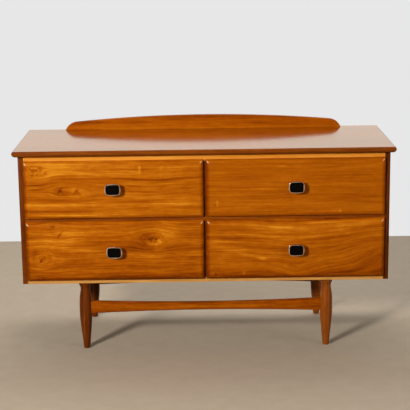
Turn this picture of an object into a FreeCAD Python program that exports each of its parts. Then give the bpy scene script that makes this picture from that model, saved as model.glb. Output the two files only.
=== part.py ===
"""Lowboy: a low, wide chest of four drawers on turned legs, with a shaped gallery board along its top.

It stands on the plane z = 0 with its drawers facing -Y. The origin is on the floor, at the centre of the
box round the whole object. All lengths are millimetres.
"""
import FreeCAD
import Part

import math
import os

V = FreeCAD.Vector
SIDES = {"left": -1, "right": 1}
ROWS = ("upper", "lower")

# Overall sizes
TOP_WIDTH = 1220.0
TOP_DEPTH = 438.0
TOP_THICKNESS = 19.0
TOP_HEIGHT = 668.0
CASE_WIDTH = 1187.0
CASE_FLOOR = 229.0
FRONT_OVERHANG = 20.5
BACK_OVERHANG = 6.0

# Top board and its rounded nose
NOSE_TOP_RADIUS = 6.5
NOSE_BOTTOM_RADIUS = 12.0

# Gallery board: one long arc between two tighter end arcs
GALLERY_RISE = 48.0
GALLERY_THICKNESS = 19.0
GALLERY_ARC_RADIUS = 4900.0
GALLERY_END_RADIUS = 46.0
GALLERY_TANGENT_X = 440.5
GALLERY_HOUSING = 3.0
GALLERY_EDGE_RADIUS = 3.0
DOWEL_RADIUS = 4.0
DOWEL_IN_TOP = 9.0
DOWEL_IN_GALLERY = 20.0
DOWEL_X = (-360.0, -120.0, 120.0, 360.0)

# Case boards
PANEL = 17.0
DIVIDER = 16.0
TOP_RAIL_HEIGHT = 20.0
TOP_RAIL_DEPTH = 60.0
MID_RAIL_HEIGHT = 19.0
MID_RAIL_DEPTH = 46.0
MID_RAIL_CENTRE = 441.0
RAIL_TENON = 8.0
RAIL_TENON_SHARE = 0.6
BOTTOM_THICKNESS = 16.0
BOTTOM_TONGUE = 5.0
BOTTOM_TONGUE_SETBACK = 15.0
BOTTOM_TONGUE_SHOULDER = 2.0
BACK_THICKNESS = 5.0
BACK_REBATE = 8.0

# Drawer fronts: a lip laps over the case round each opening, and a tongue behind it stands in the opening
FRONT_THICKNESS = 24.0
FRONT_PROUD = 15.5
FRONT_STANDOFF = 0.5
FRONT_EDGE_RADIUS = 14.5
FRONT_LAP = 5.0
FRONT_LAP_OUTER = 2.0
FRONT_GAP = 1.0

# Drawer boxes
BOX_BOARD = 12.0
BOX_LIFT = 22.0
BOX_DROP = 14.0
BOX_BACK_CLEARANCE = 14.0
BOX_TAIL_OVERRUN = 10.0
BOX_BACK_DROP = 6.0
BACK_HOUSING = 4.0
PLY = 4.0
PLY_LIFT = 8.0
PLY_GROOVE = 5.0
PLY_CLEARANCE = 0.2
TAIL_COUNT = 4
TAIL_LENGTH = 7.0
TAIL_SHARE = 0.5
TAIL_SLOPE = 1.0 / 6.0

# Runners: strips on the case that ride in grooves of the drawer sides
RUNNER_HEIGHT = 16.0
RUNNER_SEAT = 0.3
RUNNER_PLAY = 1.0
RUNNER_BITE = 6.0
RUNNER_GROOVE = 6.5
RUNNER_FRONT_GAP = 4.0
RUNNER_STOP_GAP = 0.4
RUNNER_LENGTH = 375.0
RUNNER_SCREW_PLACES = (0.12, 0.5, 0.88)

# Knobs
KNOB_WIDTH = 52.0
KNOB_HEIGHT = 40.0
KNOB_REACH = 22.0
KNOB_RIM = 5.0
KNOB_FOOT = (31.0, 23.0)
KNOB_WAIST = (26.0, 18.0)
KNOB_WAIST_REACH = 6.0
KNOB_BORDER = 3.9
KNOB_POCKET = 2.6
KNOB_INSERT = 2.0
KNOB_INSERT_GAP = 0.15
KNOB_RIM_RADIUS = 2.4
KNOB_EDGE_RADIUS = 0.8
KNOB_OUTLINE = (0.09, 0.16, 0.26)
KNOB_POCKET_OUTLINE = (0.025, 0.06, 0.22)
KNOB_FLARE_STEP = 1.0
KNOB_HEIGHTS = {"upper": 545.0, "lower": 339.0}
KNOB_SCREW_RADIUS = 1.95
KNOB_TAP_RADIUS = 2.0
KNOB_SCREW_HOLE = 2.3
KNOB_SCREW_GRIP = 11.0
KNOB_SCREW_END_GAP = 0.5
KNOB_SCREW_HEAD_ROUND = 1.0
KNOB_SCREW_HEAD = (4.0, 2.6)

# Turned legs: height above the floor and radius at each station of the turning
LEG_X = 395.0
LEG_FRONT_INSET = 50.0
LEG_REAR_INSET = 50.0
LEG_SWELL_RADIUS = 20.6
LEG_TURNING = ((0.0, 10.2), (37.0, 13.5), (70.0, 17.0), (105.0, 19.8), (141.0, LEG_SWELL_RADIUS),
               (171.0, 19.4), (189.0, 16.9), (204.0, 15.2), (216.0, 18.6))
LEG_COLLAR_RADIUS = 19.8
LEG_COLLAR_HEIGHT = 10.0
LEG_PEG_RADIUS = 11.0
LEG_PEG_LENGTH = 25.0
LEG_PEG_CLEARANCE = 0.1
LEG_BLOCK = (96.0, 40.0, 10.0)

# Stretchers between the legs: waisted bars, deepest where they meet the legs
STRETCHER_HEIGHT = 140.0
STRETCHER_WAIST = 26.6
STRETCHER_END = 44.0
STRETCHER_THICKNESS = 20.0
STRETCHER_EDGE_RADIUS = 6.0
STRETCHER_TENON = (9.0, 20.0)
STRETCHER_TENON_REACH = 6.0
STRETCHER_TENON_ROOT = 2.0

# Fasteners
SCREW_RADIUS = 1.9
SCREW_HOLE = 2.0
SCREW_HEAD = (3.6, 2.2)
SINK_CLEARANCE = 0.2
PILOT_DEPTH = 6.5
BACK_SCREW_HEAD = (3.4, 1.6)
BACK_SCREW_X = (-430.0, -215.0, 0.0, 215.0, 430.0)
BACK_SCREW_SHARES = (0.15, 0.5, 0.85)
TOP_SCREW_X = (-420.0, -150.0, 150.0, 420.0)
TOP_SCREW_INSET = 32.0
TOP_SCREW_BITE = 11.0

# Places worked out from the sizes above
KNOB_PAST_NOSE = KNOB_REACH + FRONT_PROUD - FRONT_OVERHANG
NOSE_Y = KNOB_PAST_NOSE - (TOP_DEPTH + KNOB_PAST_NOSE) / 2
REAR_Y = NOSE_Y + TOP_DEPTH
CASE_FRONT_Y = NOSE_Y + FRONT_OVERHANG
CASE_REAR_Y = REAR_Y - BACK_OVERHANG
INSIDE_REAR_Y = CASE_REAR_Y - BACK_THICKNESS
FACE_Y = CASE_FRONT_Y - FRONT_PROUD
LIP_BACK_Y = CASE_FRONT_Y - FRONT_STANDOFF
FRONT_BACK_Y = FACE_Y + FRONT_THICKNESS
CASE_TOP = TOP_HEIGHT - TOP_THICKNESS
INSIDE_FLOOR = CASE_FLOOR + BOTTOM_THICKNESS
RAIL_BOTTOM = CASE_TOP - TOP_RAIL_HEIGHT
INSIDE_X = CASE_WIDTH / 2 - PANEL
BAY_CENTRE_X = (INSIDE_X + DIVIDER / 2) / 2
BOX_REAR_Y = INSIDE_REAR_Y - BOX_BACK_CLEARANCE
LEG_Y = {"front": NOSE_Y + LEG_FRONT_INSET, "rear": REAR_Y - LEG_REAR_INSET}
MID_RAIL_Z = (MID_RAIL_CENTRE - MID_RAIL_HEIGHT / 2, MID_RAIL_CENTRE + MID_RAIL_HEIGHT / 2)
OPENING_Z = {"upper": (MID_RAIL_Z[1], RAIL_BOTTOM), "lower": (INSIDE_FLOOR, MID_RAIL_Z[0])}
FRONT_Z = {row: (low - FRONT_LAP, high + FRONT_LAP) for row, (low, high) in OPENING_Z.items()}


def span(a, b):
    """Two ends in rising order."""
    return (min(a, b), max(a, b))


def block(x, y, z):
    """A box between the ends of x, y and z."""
    (x0, x1), (y0, y1), (z0, z1) = span(*x), span(*y), span(*z)
    return Part.makeBox(x1 - x0, y1 - y0, z1 - z0, V(x0, y0, z0))


def rod(start, axis, radius, length):
    """A cylinder from a start point along an axis."""
    return Part.makeCylinder(radius, length, start, axis)


def screw(head_seat, axis, length, head):
    """A screw whose flat head stands behind its seat and whose shank runs along the axis."""
    head_radius, head_height = head
    shank = rod(head_seat - axis * (head_height / 2), axis, SCREW_RADIUS, length + head_height / 2)
    return shank.fuse(rod(head_seat - axis * head_height, axis, head_radius, head_height)).removeSplitter()


def edges_at(shape, test):
    """The edges of a shape whose middle point passes a test."""
    return [e for e in shape.Edges if test(e.valueAt((e.FirstParameter + e.LastParameter) / 2))]


def near(a, b):
    """True where two lengths are equal to a thousandth of a millimetre."""
    return abs(a - b) < 1e-3


def gallery_end_x():
    """Half the length of the gallery board where its end arcs meet the top."""
    turn = math.asin(GALLERY_TANGENT_X / GALLERY_ARC_RADIUS)
    drop = GALLERY_ARC_RADIUS * (1 - math.cos(turn))
    foot = math.acos(math.cos(turn) - (GALLERY_RISE - drop) / GALLERY_END_RADIUS)
    return GALLERY_TANGENT_X + GALLERY_END_RADIUS * (math.sin(foot) - math.sin(turn))


def dowel_holes():
    """The dowels that hold the gallery board, also used to bore their holes."""
    y = REAR_Y - GALLERY_THICKNESS / 2
    foot = TOP_HEIGHT - GALLERY_HOUSING - DOWEL_IN_TOP
    return [rod(V(x, y, foot), V(0, 0, 1), DOWEL_RADIUS, DOWEL_IN_TOP + DOWEL_IN_GALLERY) for x in DOWEL_X]


def top_screws():
    """The screws that pull the top board down on the two top rails, heads below the rails."""
    up = V(0, 0, 1)
    rows = (CASE_FRONT_Y + TOP_SCREW_INSET, INSIDE_REAR_Y - TOP_SCREW_INSET)
    return [screw(V(x, y, RAIL_BOTTOM), up, TOP_RAIL_HEIGHT + TOP_SCREW_BITE, SCREW_HEAD)
            for y in rows for x in TOP_SCREW_X]


def screw_bores(screws):
    """Holes for a set of screws: each is bored a little wider than its shank."""
    holes = []
    for piece in screws:
        box = piece.BoundBox
        along = max(("x", box.XLength), ("y", box.YLength), ("z", box.ZLength), key=lambda pair: pair[1])[0]
        start = V(box.Center.x, box.Center.y, box.Center.z)
        axis = {"x": V(1, 0, 0), "y": V(0, 1, 0), "z": V(0, 0, 1)}[along]
        length = {"x": box.XLength, "y": box.YLength, "z": box.ZLength}[along]
        holes.append(rod(start - axis * (length / 2), axis, SCREW_HOLE, length))
    return holes


def bored(shape, tools):
    """A shape with every tool cut out of it."""
    return shape.cut(Part.makeCompound(tools)) if tools else shape


def top_board():
    """The top, with a nose rounded on its front and both ends, housed and bored for the gallery board."""
    half = TOP_WIDTH / 2
    board = block((-half, half), (NOSE_Y, REAR_Y), (CASE_TOP, TOP_HEIGHT))

    def outer(point):
        """True for a point of the front edge or of either end."""
        return near(abs(point.x), half) or near(point.y, NOSE_Y)

    for radius, z in ((NOSE_TOP_RADIUS, TOP_HEIGHT), (NOSE_BOTTOM_RADIUS, CASE_TOP)):
        board = board.makeFillet(radius, edges_at(board, lambda p: outer(p) and near(p.z, z)))
    end = gallery_end_x()
    housing = block((-end, end), (REAR_Y - GALLERY_THICKNESS, REAR_Y),
                    (TOP_HEIGHT - GALLERY_HOUSING, TOP_HEIGHT))
    return bored(board, [housing, *dowel_holes(), *screw_bores(top_screws())])


def gallery_board():
    """The upstand along the back of the top: a long arc that turns down at both ends."""
    turn = math.asin(GALLERY_TANGENT_X / GALLERY_ARC_RADIUS)
    drop = GALLERY_ARC_RADIUS * (1 - math.cos(turn))
    crest = TOP_HEIGHT + GALLERY_RISE
    shoulder = crest - drop
    end_x, base = gallery_end_x(), TOP_HEIGHT - GALLERY_HOUSING
    y = REAR_Y - GALLERY_THICKNESS
    centre_x = GALLERY_TANGENT_X - GALLERY_END_RADIUS * math.sin(turn)
    centre_z = shoulder - GALLERY_END_RADIUS * math.cos(turn)
    foot = math.asin((end_x - centre_x) / GALLERY_END_RADIUS)
    middle = (turn + foot) / 2
    bend_x = centre_x + GALLERY_END_RADIUS * math.sin(middle)
    bend_z = centre_z + GALLERY_END_RADIUS * math.cos(middle)

    def pair(x, z):
        """The right and left point at a distance from the middle."""
        return V(x, y, z), V(-x, y, z)

    base_right, base_left = pair(end_x, base)
    foot_right, foot_left = pair(end_x, TOP_HEIGHT)
    bend_right, bend_left = pair(bend_x, bend_z)
    turn_right, turn_left = pair(GALLERY_TANGENT_X, shoulder)
    outline = [
        Part.makeLine(base_left, base_right),
        Part.makeLine(base_right, foot_right),
        Part.Arc(foot_right, bend_right, turn_right).toShape(),
        Part.Arc(turn_right, V(0, y, crest), turn_left).toShape(),
        Part.Arc(turn_left, bend_left, foot_left).toShape(),
        Part.makeLine(foot_left, base_left),
    ]
    board = Part.Face(Part.Wire(outline)).extrude(V(0, GALLERY_THICKNESS, 0))
    rim = edges_at(board, lambda p: p.z > TOP_HEIGHT + 1 and not near(p.y, y + GALLERY_THICKNESS / 2))
    return bored(board.makeFillet(GALLERY_EDGE_RADIUS, rim), dowel_holes())


def rail_tenons(y, z):
    """The stub tenons of a rail, one in each side panel, set in from all four faces of the rail."""
    inset_y, inset_z = (y[1] - y[0]) / 4, (z[1] - z[0]) * (1 - RAIL_TENON_SHARE) / 2
    return [block((s * INSIDE_X, s * (INSIDE_X + RAIL_TENON)), (y[0] + inset_y, y[1] - inset_y),
                  (z[0] + inset_z, z[1] - inset_z)) for s in SIDES.values()]


def rail(y, z):
    """A rail across the whole case, with a stub tenon at each end."""
    return block((-INSIDE_X, INSIDE_X), y, z).fuse(Part.makeCompound(rail_tenons(y, z)))


def front_rail_place():
    """Depth and height of the top front rail."""
    return (CASE_FRONT_Y, CASE_FRONT_Y + TOP_RAIL_DEPTH), (RAIL_BOTTOM, CASE_TOP)


def back_rail_place():
    """Depth and height of the top back rail."""
    return (INSIDE_REAR_Y - TOP_RAIL_DEPTH, INSIDE_REAR_Y), (RAIL_BOTTOM, CASE_TOP)


def mid_rail_place():
    """Depth and height of the rail behind the gap between the two rows of drawers."""
    return (CASE_FRONT_Y, CASE_FRONT_Y + MID_RAIL_DEPTH), MID_RAIL_Z


def halving(front_half):
    """The front or rear half of the crossing of the mid rail and the divider, as a cutting block."""
    y, z = mid_rail_place()
    middle = sum(y) / 2
    return block((-DIVIDER / 2, DIVIDER / 2), (y[0], middle) if front_half else (middle, y[1]), z)


def top_front_rail():
    """The pale rail under the front of the top."""
    return bored(rail(*front_rail_place()), screw_bores(top_screws()))


def top_back_rail():
    """The rail that carries the back of the top and of the back panel."""
    return bored(rail(*back_rail_place()), screw_bores(top_screws() + back_screws()))


def mid_rail():
    """The rail between the two rows of drawers, halved behind so that it runs across the divider."""
    return rail(*mid_rail_place()).cut(halving(front_half=False))


def bottom_tongues():
    """The tongues of the bottom board, which stop short of the front so that they don't show."""
    y = (CASE_FRONT_Y + BOTTOM_TONGUE_SETBACK, INSIDE_REAR_Y)
    z = (CASE_FLOOR + BOTTOM_TONGUE_SHOULDER, INSIDE_FLOOR - BOTTOM_TONGUE_SHOULDER)
    return [block((s * INSIDE_X, s * (INSIDE_X + BOTTOM_TONGUE)), y, z) for s in SIDES.values()]


def leg_places():
    """Name and floor position of each leg."""
    return {f"{end}_{side}": (s * LEG_X, y) for end, y in LEG_Y.items() for side, s in SIDES.items()}


def leg_peg_holes():
    """The round holes that the pegs of the legs stand in."""
    return [rod(V(x, y, CASE_FLOOR), V(0, 0, 1), LEG_PEG_RADIUS + LEG_PEG_CLEARANCE, LEG_PEG_LENGTH)
            for x, y in leg_places().values()]


def bottom_board():
    """The floor of the case. Its front edge is the pale strip below the lower drawers."""
    body = block((-INSIDE_X, INSIDE_X), (CASE_FRONT_Y, INSIDE_REAR_Y), (CASE_FLOOR, INSIDE_FLOOR))
    body = body.fuse(Part.makeCompound(bottom_tongues()))
    return bored(body, leg_peg_holes() + screw_bores(back_screws()))


def back_screws():
    """The small screws round the edge of the back panel, heads behind it."""
    ahead = V(0, -1, 0)
    length = BACK_THICKNESS + PILOT_DEPTH
    side_x = INSIDE_X + BACK_REBATE / 2
    top_z, floor_z = CASE_TOP - TOP_RAIL_HEIGHT / 2, CASE_FLOOR + BOTTOM_THICKNESS / 2
    spots = [(x, z) for z in (top_z, floor_z) for x in BACK_SCREW_X]
    spots += [(s * side_x, CASE_FLOOR + (CASE_TOP - CASE_FLOOR) * share) for s in SIDES.values()
              for share in BACK_SCREW_SHARES]
    return [screw(V(x, CASE_REAR_Y, z), ahead, length, BACK_SCREW_HEAD) for x, z in spots]


def back_panel():
    """The thin ply sheet let into the back of the case."""
    half = INSIDE_X + BACK_REBATE
    sheet = block((-half, half), (INSIDE_REAR_Y, CASE_REAR_Y), (CASE_FLOOR, CASE_TOP))
    return bored(sheet, screw_bores(back_screws()))


def side_panel(side):
    """A side of the case, rebated for the back and housed for the bottom board and the rails."""
    s = SIDES[side]
    board = block((s * INSIDE_X, s * CASE_WIDTH / 2), (CASE_FRONT_Y, CASE_REAR_Y), (CASE_FLOOR, CASE_TOP))
    rebate = block((s * INSIDE_X, s * (INSIDE_X + BACK_REBATE)), (INSIDE_REAR_Y, CASE_REAR_Y),
                   (CASE_FLOOR, CASE_TOP))
    joints = [rebate, *bottom_tongues()]
    for place in (front_rail_place(), back_rail_place(), mid_rail_place()):
        joints += rail_tenons(*place)
    return bored(board, joints + screw_bores(runner_screws() + back_screws()))


def centre_divider():
    """The upright between the drawers, notched round the top rails and halved for the mid rail."""
    half = DIVIDER / 2
    board = block((-half, half), (CASE_FRONT_Y, INSIDE_REAR_Y), (INSIDE_FLOOR, CASE_TOP))
    notches = [block((-half, half), *place) for place in (front_rail_place(), back_rail_place())]
    return bored(board, [*notches, halving(front_half=True), *screw_bores(runner_screws())])


def box_z(row):
    """Bottom and top of a drawer's sides."""
    low, high = FRONT_Z[row]
    return low + BOX_LIFT, high - BOX_DROP


def wall_x(side, wall):
    """The case wall that a drawer side runs along, and the direction from that wall into the bay."""
    s = SIDES[side]
    return (s * INSIDE_X, -s) if wall == "outer" else (s * DIVIDER / 2, s)


def runner_z(row):
    """Bottom and top of a runner, which is under the upper edge of the groove that rides on it."""
    low, high = box_z(row)
    bottom = (low + high - RUNNER_HEIGHT) / 2
    return bottom, bottom + RUNNER_HEIGHT


def runner_seats(side, row, wall):
    """Points on the open face of one runner that its screws go in at."""
    x, inward = wall_x(side, wall)
    start = FRONT_BACK_Y + RUNNER_FRONT_GAP
    z = sum(runner_z(row)) / 2
    return [V(x + inward * (FRONT_GAP + RUNNER_BITE), start + share * RUNNER_LENGTH, z)
            for share in RUNNER_SCREW_PLACES]


def runner_screw_set(side, row, wall):
    """The screws through one runner into the wall behind it, heads sunk in the runner."""
    axis = V(-wall_x(side, wall)[1], 0, 0)
    head_height = SCREW_HEAD[1]
    length = FRONT_GAP + RUNNER_BITE - head_height + PILOT_DEPTH
    return [screw(seat + axis * head_height, axis, length, SCREW_HEAD)
            for seat in runner_seats(side, row, wall)]


def runner_keys():
    """Every runner as its side of the case, its row of drawers and the wall it is on."""
    return [(side, row, wall) for side in SIDES for row in ROWS for wall in ("outer", "inner")]


def runner_screws():
    """The screws of all the runners."""
    return [piece for key in runner_keys() for piece in runner_screw_set(*key)]


def runner(side, row, wall):
    """A hardwood strip that carries one side of a drawer, counterbored for its screws."""
    x, inward = wall_x(side, wall)
    start = FRONT_BACK_Y + RUNNER_FRONT_GAP
    width = FRONT_GAP + RUNNER_BITE
    strip = block((x, x + inward * width), (start, start + RUNNER_LENGTH), runner_z(row))
    head_radius, head_height = SCREW_HEAD
    sinks = [rod(seat, V(-inward, 0, 0), head_radius + SINK_CLEARANCE, head_height)
             for seat in runner_seats(side, row, wall)]
    return bored(strip, sinks + screw_bores(runner_screw_set(side, row, wall)))


def turned_leg(x, y):
    """The turned body of a leg: a slim foot, a swell, a neck and a collar under the case."""
    points = [V(x + radius, y, z) for z, radius in LEG_TURNING]
    curve = Part.BSplineCurve()
    curve.interpolate(points)
    collar = CASE_FLOOR - LEG_COLLAR_HEIGHT
    corners = [points[-1], V(x + LEG_COLLAR_RADIUS, y, collar), V(x + LEG_COLLAR_RADIUS, y, CASE_FLOOR),
               V(x, y, CASE_FLOOR), V(x, y, 0), points[0]]
    lines = [Part.makeLine(a, b) for a, b in zip(corners, corners[1:])]
    return Part.Face(Part.Wire([curve.toShape(), *lines])).revolve(V(x, y, 0), V(0, 0, 1), 360)


def stretcher_tenon(s, y):
    """The tenon at one end of a stretcher, which reaches almost to the axis of the leg."""
    thickness, height = STRETCHER_TENON
    inner = LEG_X - LEG_SWELL_RADIUS - STRETCHER_TENON_ROOT
    return block((s * inner, s * (LEG_X - STRETCHER_TENON_REACH)), (y - thickness / 2, y + thickness / 2),
                 (STRETCHER_HEIGHT - height / 2, STRETCHER_HEIGHT + height / 2))


def leg(name):
    """One leg: its turned body, the peg that stands in the case and the mortise for its stretcher."""
    x, y = leg_places()[name]
    peg = rod(V(x, y, CASE_FLOOR), V(0, 0, 1), LEG_PEG_RADIUS, LEG_PEG_LENGTH)
    return turned_leg(x, y).fuse(peg).cut(stretcher_tenon(math.copysign(1, x), y))


def stretcher(end):
    """A waisted bar between two legs, coped to their round sides and tenoned into them."""
    y = LEG_Y[end]
    y0 = y - STRETCHER_THICKNESS / 2
    low, high = STRETCHER_HEIGHT - STRETCHER_END / 2, STRETCHER_HEIGHT + STRETCHER_END / 2
    waist_low, waist_high = STRETCHER_HEIGHT - STRETCHER_WAIST / 2, STRETCHER_HEIGHT + STRETCHER_WAIST / 2
    outline = [
        Part.Arc(V(-LEG_X, y0, low), V(0, y0, waist_low), V(LEG_X, y0, low)).toShape(),
        Part.makeLine(V(LEG_X, y0, low), V(LEG_X, y0, high)),
        Part.Arc(V(LEG_X, y0, high), V(0, y0, waist_high), V(-LEG_X, y0, high)).toShape(),
        Part.makeLine(V(-LEG_X, y0, high), V(-LEG_X, y0, low)),
    ]
    bar = Part.Face(Part.Wire(outline)).extrude(V(0, STRETCHER_THICKNESS, 0))
    bar = bar.makeFillet(STRETCHER_EDGE_RADIUS, edges_at(bar, lambda p: near(p.x, 0)))
    bar = bored(bar, [turned_leg(s * LEG_X, y) for s in SIDES.values()])
    return bar.fuse(Part.makeCompound([stretcher_tenon(s, y) for s in SIDES.values()])).removeSplitter()


def leg_blocks():
    """The glue blocks on the case floor that the pegs of the legs end in."""
    width, depth, height = LEG_BLOCK
    blocks = [block((x - width / 2, x + width / 2), (y - depth / 2, y + depth / 2),
                    (INSIDE_FLOOR, INSIDE_FLOOR + height)) for x, y in leg_places().values()]
    return [bored(piece, leg_peg_holes()) for piece in blocks]


def barrel(width, height, x, y, z, outline=KNOB_OUTLINE):
    """An upright outline in the plane y: four bowed sides joined by four tangent corner arcs.

    The outline holds the bow of the left and right sides as a share of half the width, then the bow of the
    top and bottom and the radius of the corners as shares of half the height.
    """
    half_w, half_h = width / 2, height / 2
    bow_w, bow_h, radius = outline[0] * half_w, outline[1] * half_h, outline[2] * half_h
    centre = V(half_w - bow_w - radius, 0, half_h - bow_h - radius)

    def side_radius(bow, across):
        """The radius of a bowed side that the corner arcs touch from inside."""
        return ((radius + bow) ** 2 + across ** 2 - radius ** 2) / (2 * bow)

    def touch(side_centre):
        """The point where a bowed side meets the corner arc of the upper right corner."""
        return centre + (centre - side_centre).normalize() * radius

    right = touch(V(half_w - side_radius(bow_w, centre.z), 0, 0))
    top = touch(V(0, 0, half_h - side_radius(bow_h, centre.x)))
    middle = centre + (right + top - centre * 2).normalize() * radius

    def at(point, sx, sz):
        """A point of the upper right quarter, mirrored into another quarter and put in its place."""
        return V(x + sx * point.x, y, z + sz * point.z)

    arcs = []
    for sx in (1, -1):
        arcs.append((at(right, sx, -1), V(x + sx * half_w, y, z), at(right, sx, 1)))
        arcs.append((at(top, 1, sx), V(x, y, z + sx * half_h), at(top, -1, sx)))
        arcs += [(at(right, sx, sz), at(middle, sx, sz), at(top, sx, sz)) for sz in (1, -1)]
    edges = [Part.Arc(*points).toShape() for points in arcs]
    return Part.Wire(Part.__sortEdges__(edges))


def pad(width, height, x, y, z, reach, outline=KNOB_OUTLINE):
    """A barrel-shaped plate that stands from the plane y towards the front."""
    return Part.Face(barrel(width, height, x, y, z, outline)).extrude(V(0, -reach, 0))


def knob_place(side, row):
    """The point of a drawer's face that its knob is centred on."""
    return SIDES[side] * BAY_CENTRE_X, FACE_Y, KNOB_HEIGHTS[row]


def knob_tap(side, row, radius):
    """The bore in the back of a knob that its screw grips."""
    x, y, z = knob_place(side, row)
    return rod(V(x, y, z), V(0, -1, 0), radius, KNOB_SCREW_GRIP)


def knob_body(side, row):
    """The cast metal body of a knob: a foot, a waist and a flared rim with a pocket for the insert."""
    x, y, z = knob_place(side, row)
    rim_y = y - KNOB_REACH + KNOB_RIM
    flare = (KNOB_WIDTH - 2 * KNOB_FLARE_STEP, KNOB_HEIGHT - 2 * KNOB_FLARE_STEP)
    neck = Part.makeLoft([barrel(*KNOB_FOOT, x, y, z), barrel(*KNOB_WAIST, x, y - KNOB_WAIST_REACH, z),
                          barrel(*flare, x, rim_y, z)], True)
    rim = pad(KNOB_WIDTH, KNOB_HEIGHT, x, rim_y, z, KNOB_RIM)
    for radius, end in ((KNOB_EDGE_RADIUS, rim_y), (KNOB_RIM_RADIUS, rim_y - KNOB_RIM)):
        rim = rim.makeFillet(radius, edges_at(rim, lambda p: near(p.y, end)))
    border = 2 * KNOB_BORDER
    pocket = pad(KNOB_WIDTH - border, KNOB_HEIGHT - border, x, y - KNOB_REACH + KNOB_POCKET, z, KNOB_POCKET,
                 KNOB_POCKET_OUTLINE)
    return neck.fuse(rim).cut(pocket).cut(knob_tap(side, row, KNOB_TAP_RADIUS))


def knob_insert(side, row):
    """The dark plate that sits in the pocket of a knob."""
    x, y, z = knob_place(side, row)
    border = 2 * (KNOB_BORDER + KNOB_INSERT_GAP)
    floor_y = y - KNOB_REACH + KNOB_POCKET
    plate = pad(KNOB_WIDTH - border, KNOB_HEIGHT - border, x, floor_y, z, KNOB_INSERT, KNOB_POCKET_OUTLINE)
    return plate.makeFillet(KNOB_EDGE_RADIUS, edges_at(plate, lambda p: near(p.y, floor_y - KNOB_INSERT)))


def knob_screw(side, row):
    """The machine screw that holds a knob from inside the drawer."""
    x, y, z = knob_place(side, row)
    head_radius, head_height = KNOB_SCREW_HEAD
    length = FRONT_THICKNESS + KNOB_SCREW_GRIP - KNOB_SCREW_END_GAP
    shank = rod(V(x, FRONT_BACK_Y, z), V(0, -1, 0), KNOB_SCREW_RADIUS, length)
    head = rod(V(x, FRONT_BACK_Y, z), V(0, 1, 0), head_radius, head_height)
    crown = edges_at(head, lambda p: near(p.y, FRONT_BACK_Y + head_height))
    return shank.fuse(head.makeFillet(KNOB_SCREW_HEAD_ROUND, crown))


def box_x(side):
    """Outer faces of a drawer's two sides, the one near the divider first."""
    s = SIDES[side]
    return s * (DIVIDER / 2 + FRONT_GAP), s * (INSIDE_X - FRONT_GAP)


def wall_faces(side, wall):
    """Outer and inner face of one drawer side."""
    s = SIDES[side]
    inner, outer = box_x(side)
    return (inner, inner + s * BOX_BOARD) if wall == "inner" else (outer, outer - s * BOX_BOARD)


def tails(side, row, wall):
    """The dovetails on the front end of a drawer side, wider at the tip than at the root."""
    low, high = box_z(row)
    pitch = (high - low) / TAIL_COUNT
    root = pitch * TAIL_SHARE / 2
    tip = root + TAIL_LENGTH * TAIL_SLOPE
    face, inside = wall_faces(side, wall)
    tip_y = FRONT_BACK_Y - TAIL_LENGTH
    pieces = []
    for number in range(TAIL_COUNT):
        z = low + pitch * (number + 0.5)
        corners = [V(face, FRONT_BACK_Y, z - root), V(face, tip_y, z - tip), V(face, tip_y, z + tip),
                   V(face, FRONT_BACK_Y, z + root)]
        outline = Part.makePolygon(corners + corners[:1])
        pieces.append(Part.Face(outline).extrude(V(inside - face, 0, 0)))
    return pieces


def drawer_ply(side, row, clearance=0.0):
    """The thin bottom of a drawer, let into grooves of its front and sides."""
    inner, outer = (wall_faces(side, wall)[1] for wall in ("inner", "outer"))
    reach = PLY_GROOVE - PLY_CLEARANCE + clearance
    x0, x1 = span(inner, outer)
    z = box_z(row)[0] + PLY_LIFT
    return block((x0 - reach, x1 + reach), (FRONT_BACK_Y - reach, BOX_REAR_Y),
                 (z - clearance, z + PLY + clearance))


def drawer_back(side, row):
    """The back board of a drawer, housed in the sides above the thin bottom."""
    x0, x1 = span(*(wall_faces(side, wall)[1] for wall in ("inner", "outer")))
    y = BOX_REAR_Y - BOX_TAIL_OVERRUN
    low, high = box_z(row)
    return block((x0 - BACK_HOUSING, x1 + BACK_HOUSING), (y - BOX_BOARD, y),
                 (low + PLY_LIFT + PLY + PLY_CLEARANCE, high - BOX_BACK_DROP))


def drawer_side(side, row, wall):
    """One side of a drawer: dovetailed in front, grooved for its runner and for the bottom."""
    face, inside = wall_faces(side, wall)
    low, high = box_z(row)
    board = block((face, inside), (FRONT_BACK_Y, BOX_REAR_Y), (low, high))
    board = board.fuse(Part.makeCompound(tails(side, row, wall))).removeSplitter()
    depth = math.copysign(RUNNER_GROOVE, inside - face)
    bottom, top = runner_z(row)
    stop = FRONT_BACK_Y + RUNNER_FRONT_GAP - RUNNER_STOP_GAP
    groove = block((face, face + depth), (stop, BOX_REAR_Y),
                   (bottom - RUNNER_PLAY, top + RUNNER_SEAT))
    return bored(board, [groove, drawer_ply(side, row, PLY_CLEARANCE), drawer_back(side, row)])


def drawer_front(side, row):
    """The front of a drawer: a lip whose rounded edges meet in mitres, and the tongue behind it."""
    s = SIDES[side]
    ends = (s * (DIVIDER / 2 - FRONT_LAP), s * (INSIDE_X + FRONT_LAP_OUTER))
    lip = block(ends, (FACE_Y, LIP_BACK_Y), FRONT_Z[row])
    lip = lip.makeFillet(FRONT_EDGE_RADIUS, edges_at(lip, lambda p: near(p.y, FACE_Y)))
    low, high = OPENING_Z[row]
    tongue = block(box_x(side), (LIP_BACK_Y, FRONT_BACK_Y), (low + FRONT_GAP, high - FRONT_GAP))
    sockets = tails(side, row, "inner") + tails(side, row, "outer")
    x, y, z = knob_place(side, row)
    hole = rod(V(x, FACE_Y, z), V(0, 1, 0), KNOB_SCREW_HOLE, FRONT_THICKNESS)
    return bored(lip.fuse(tongue), sockets + [drawer_ply(side, row, PLY_CLEARANCE), hole])


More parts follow.
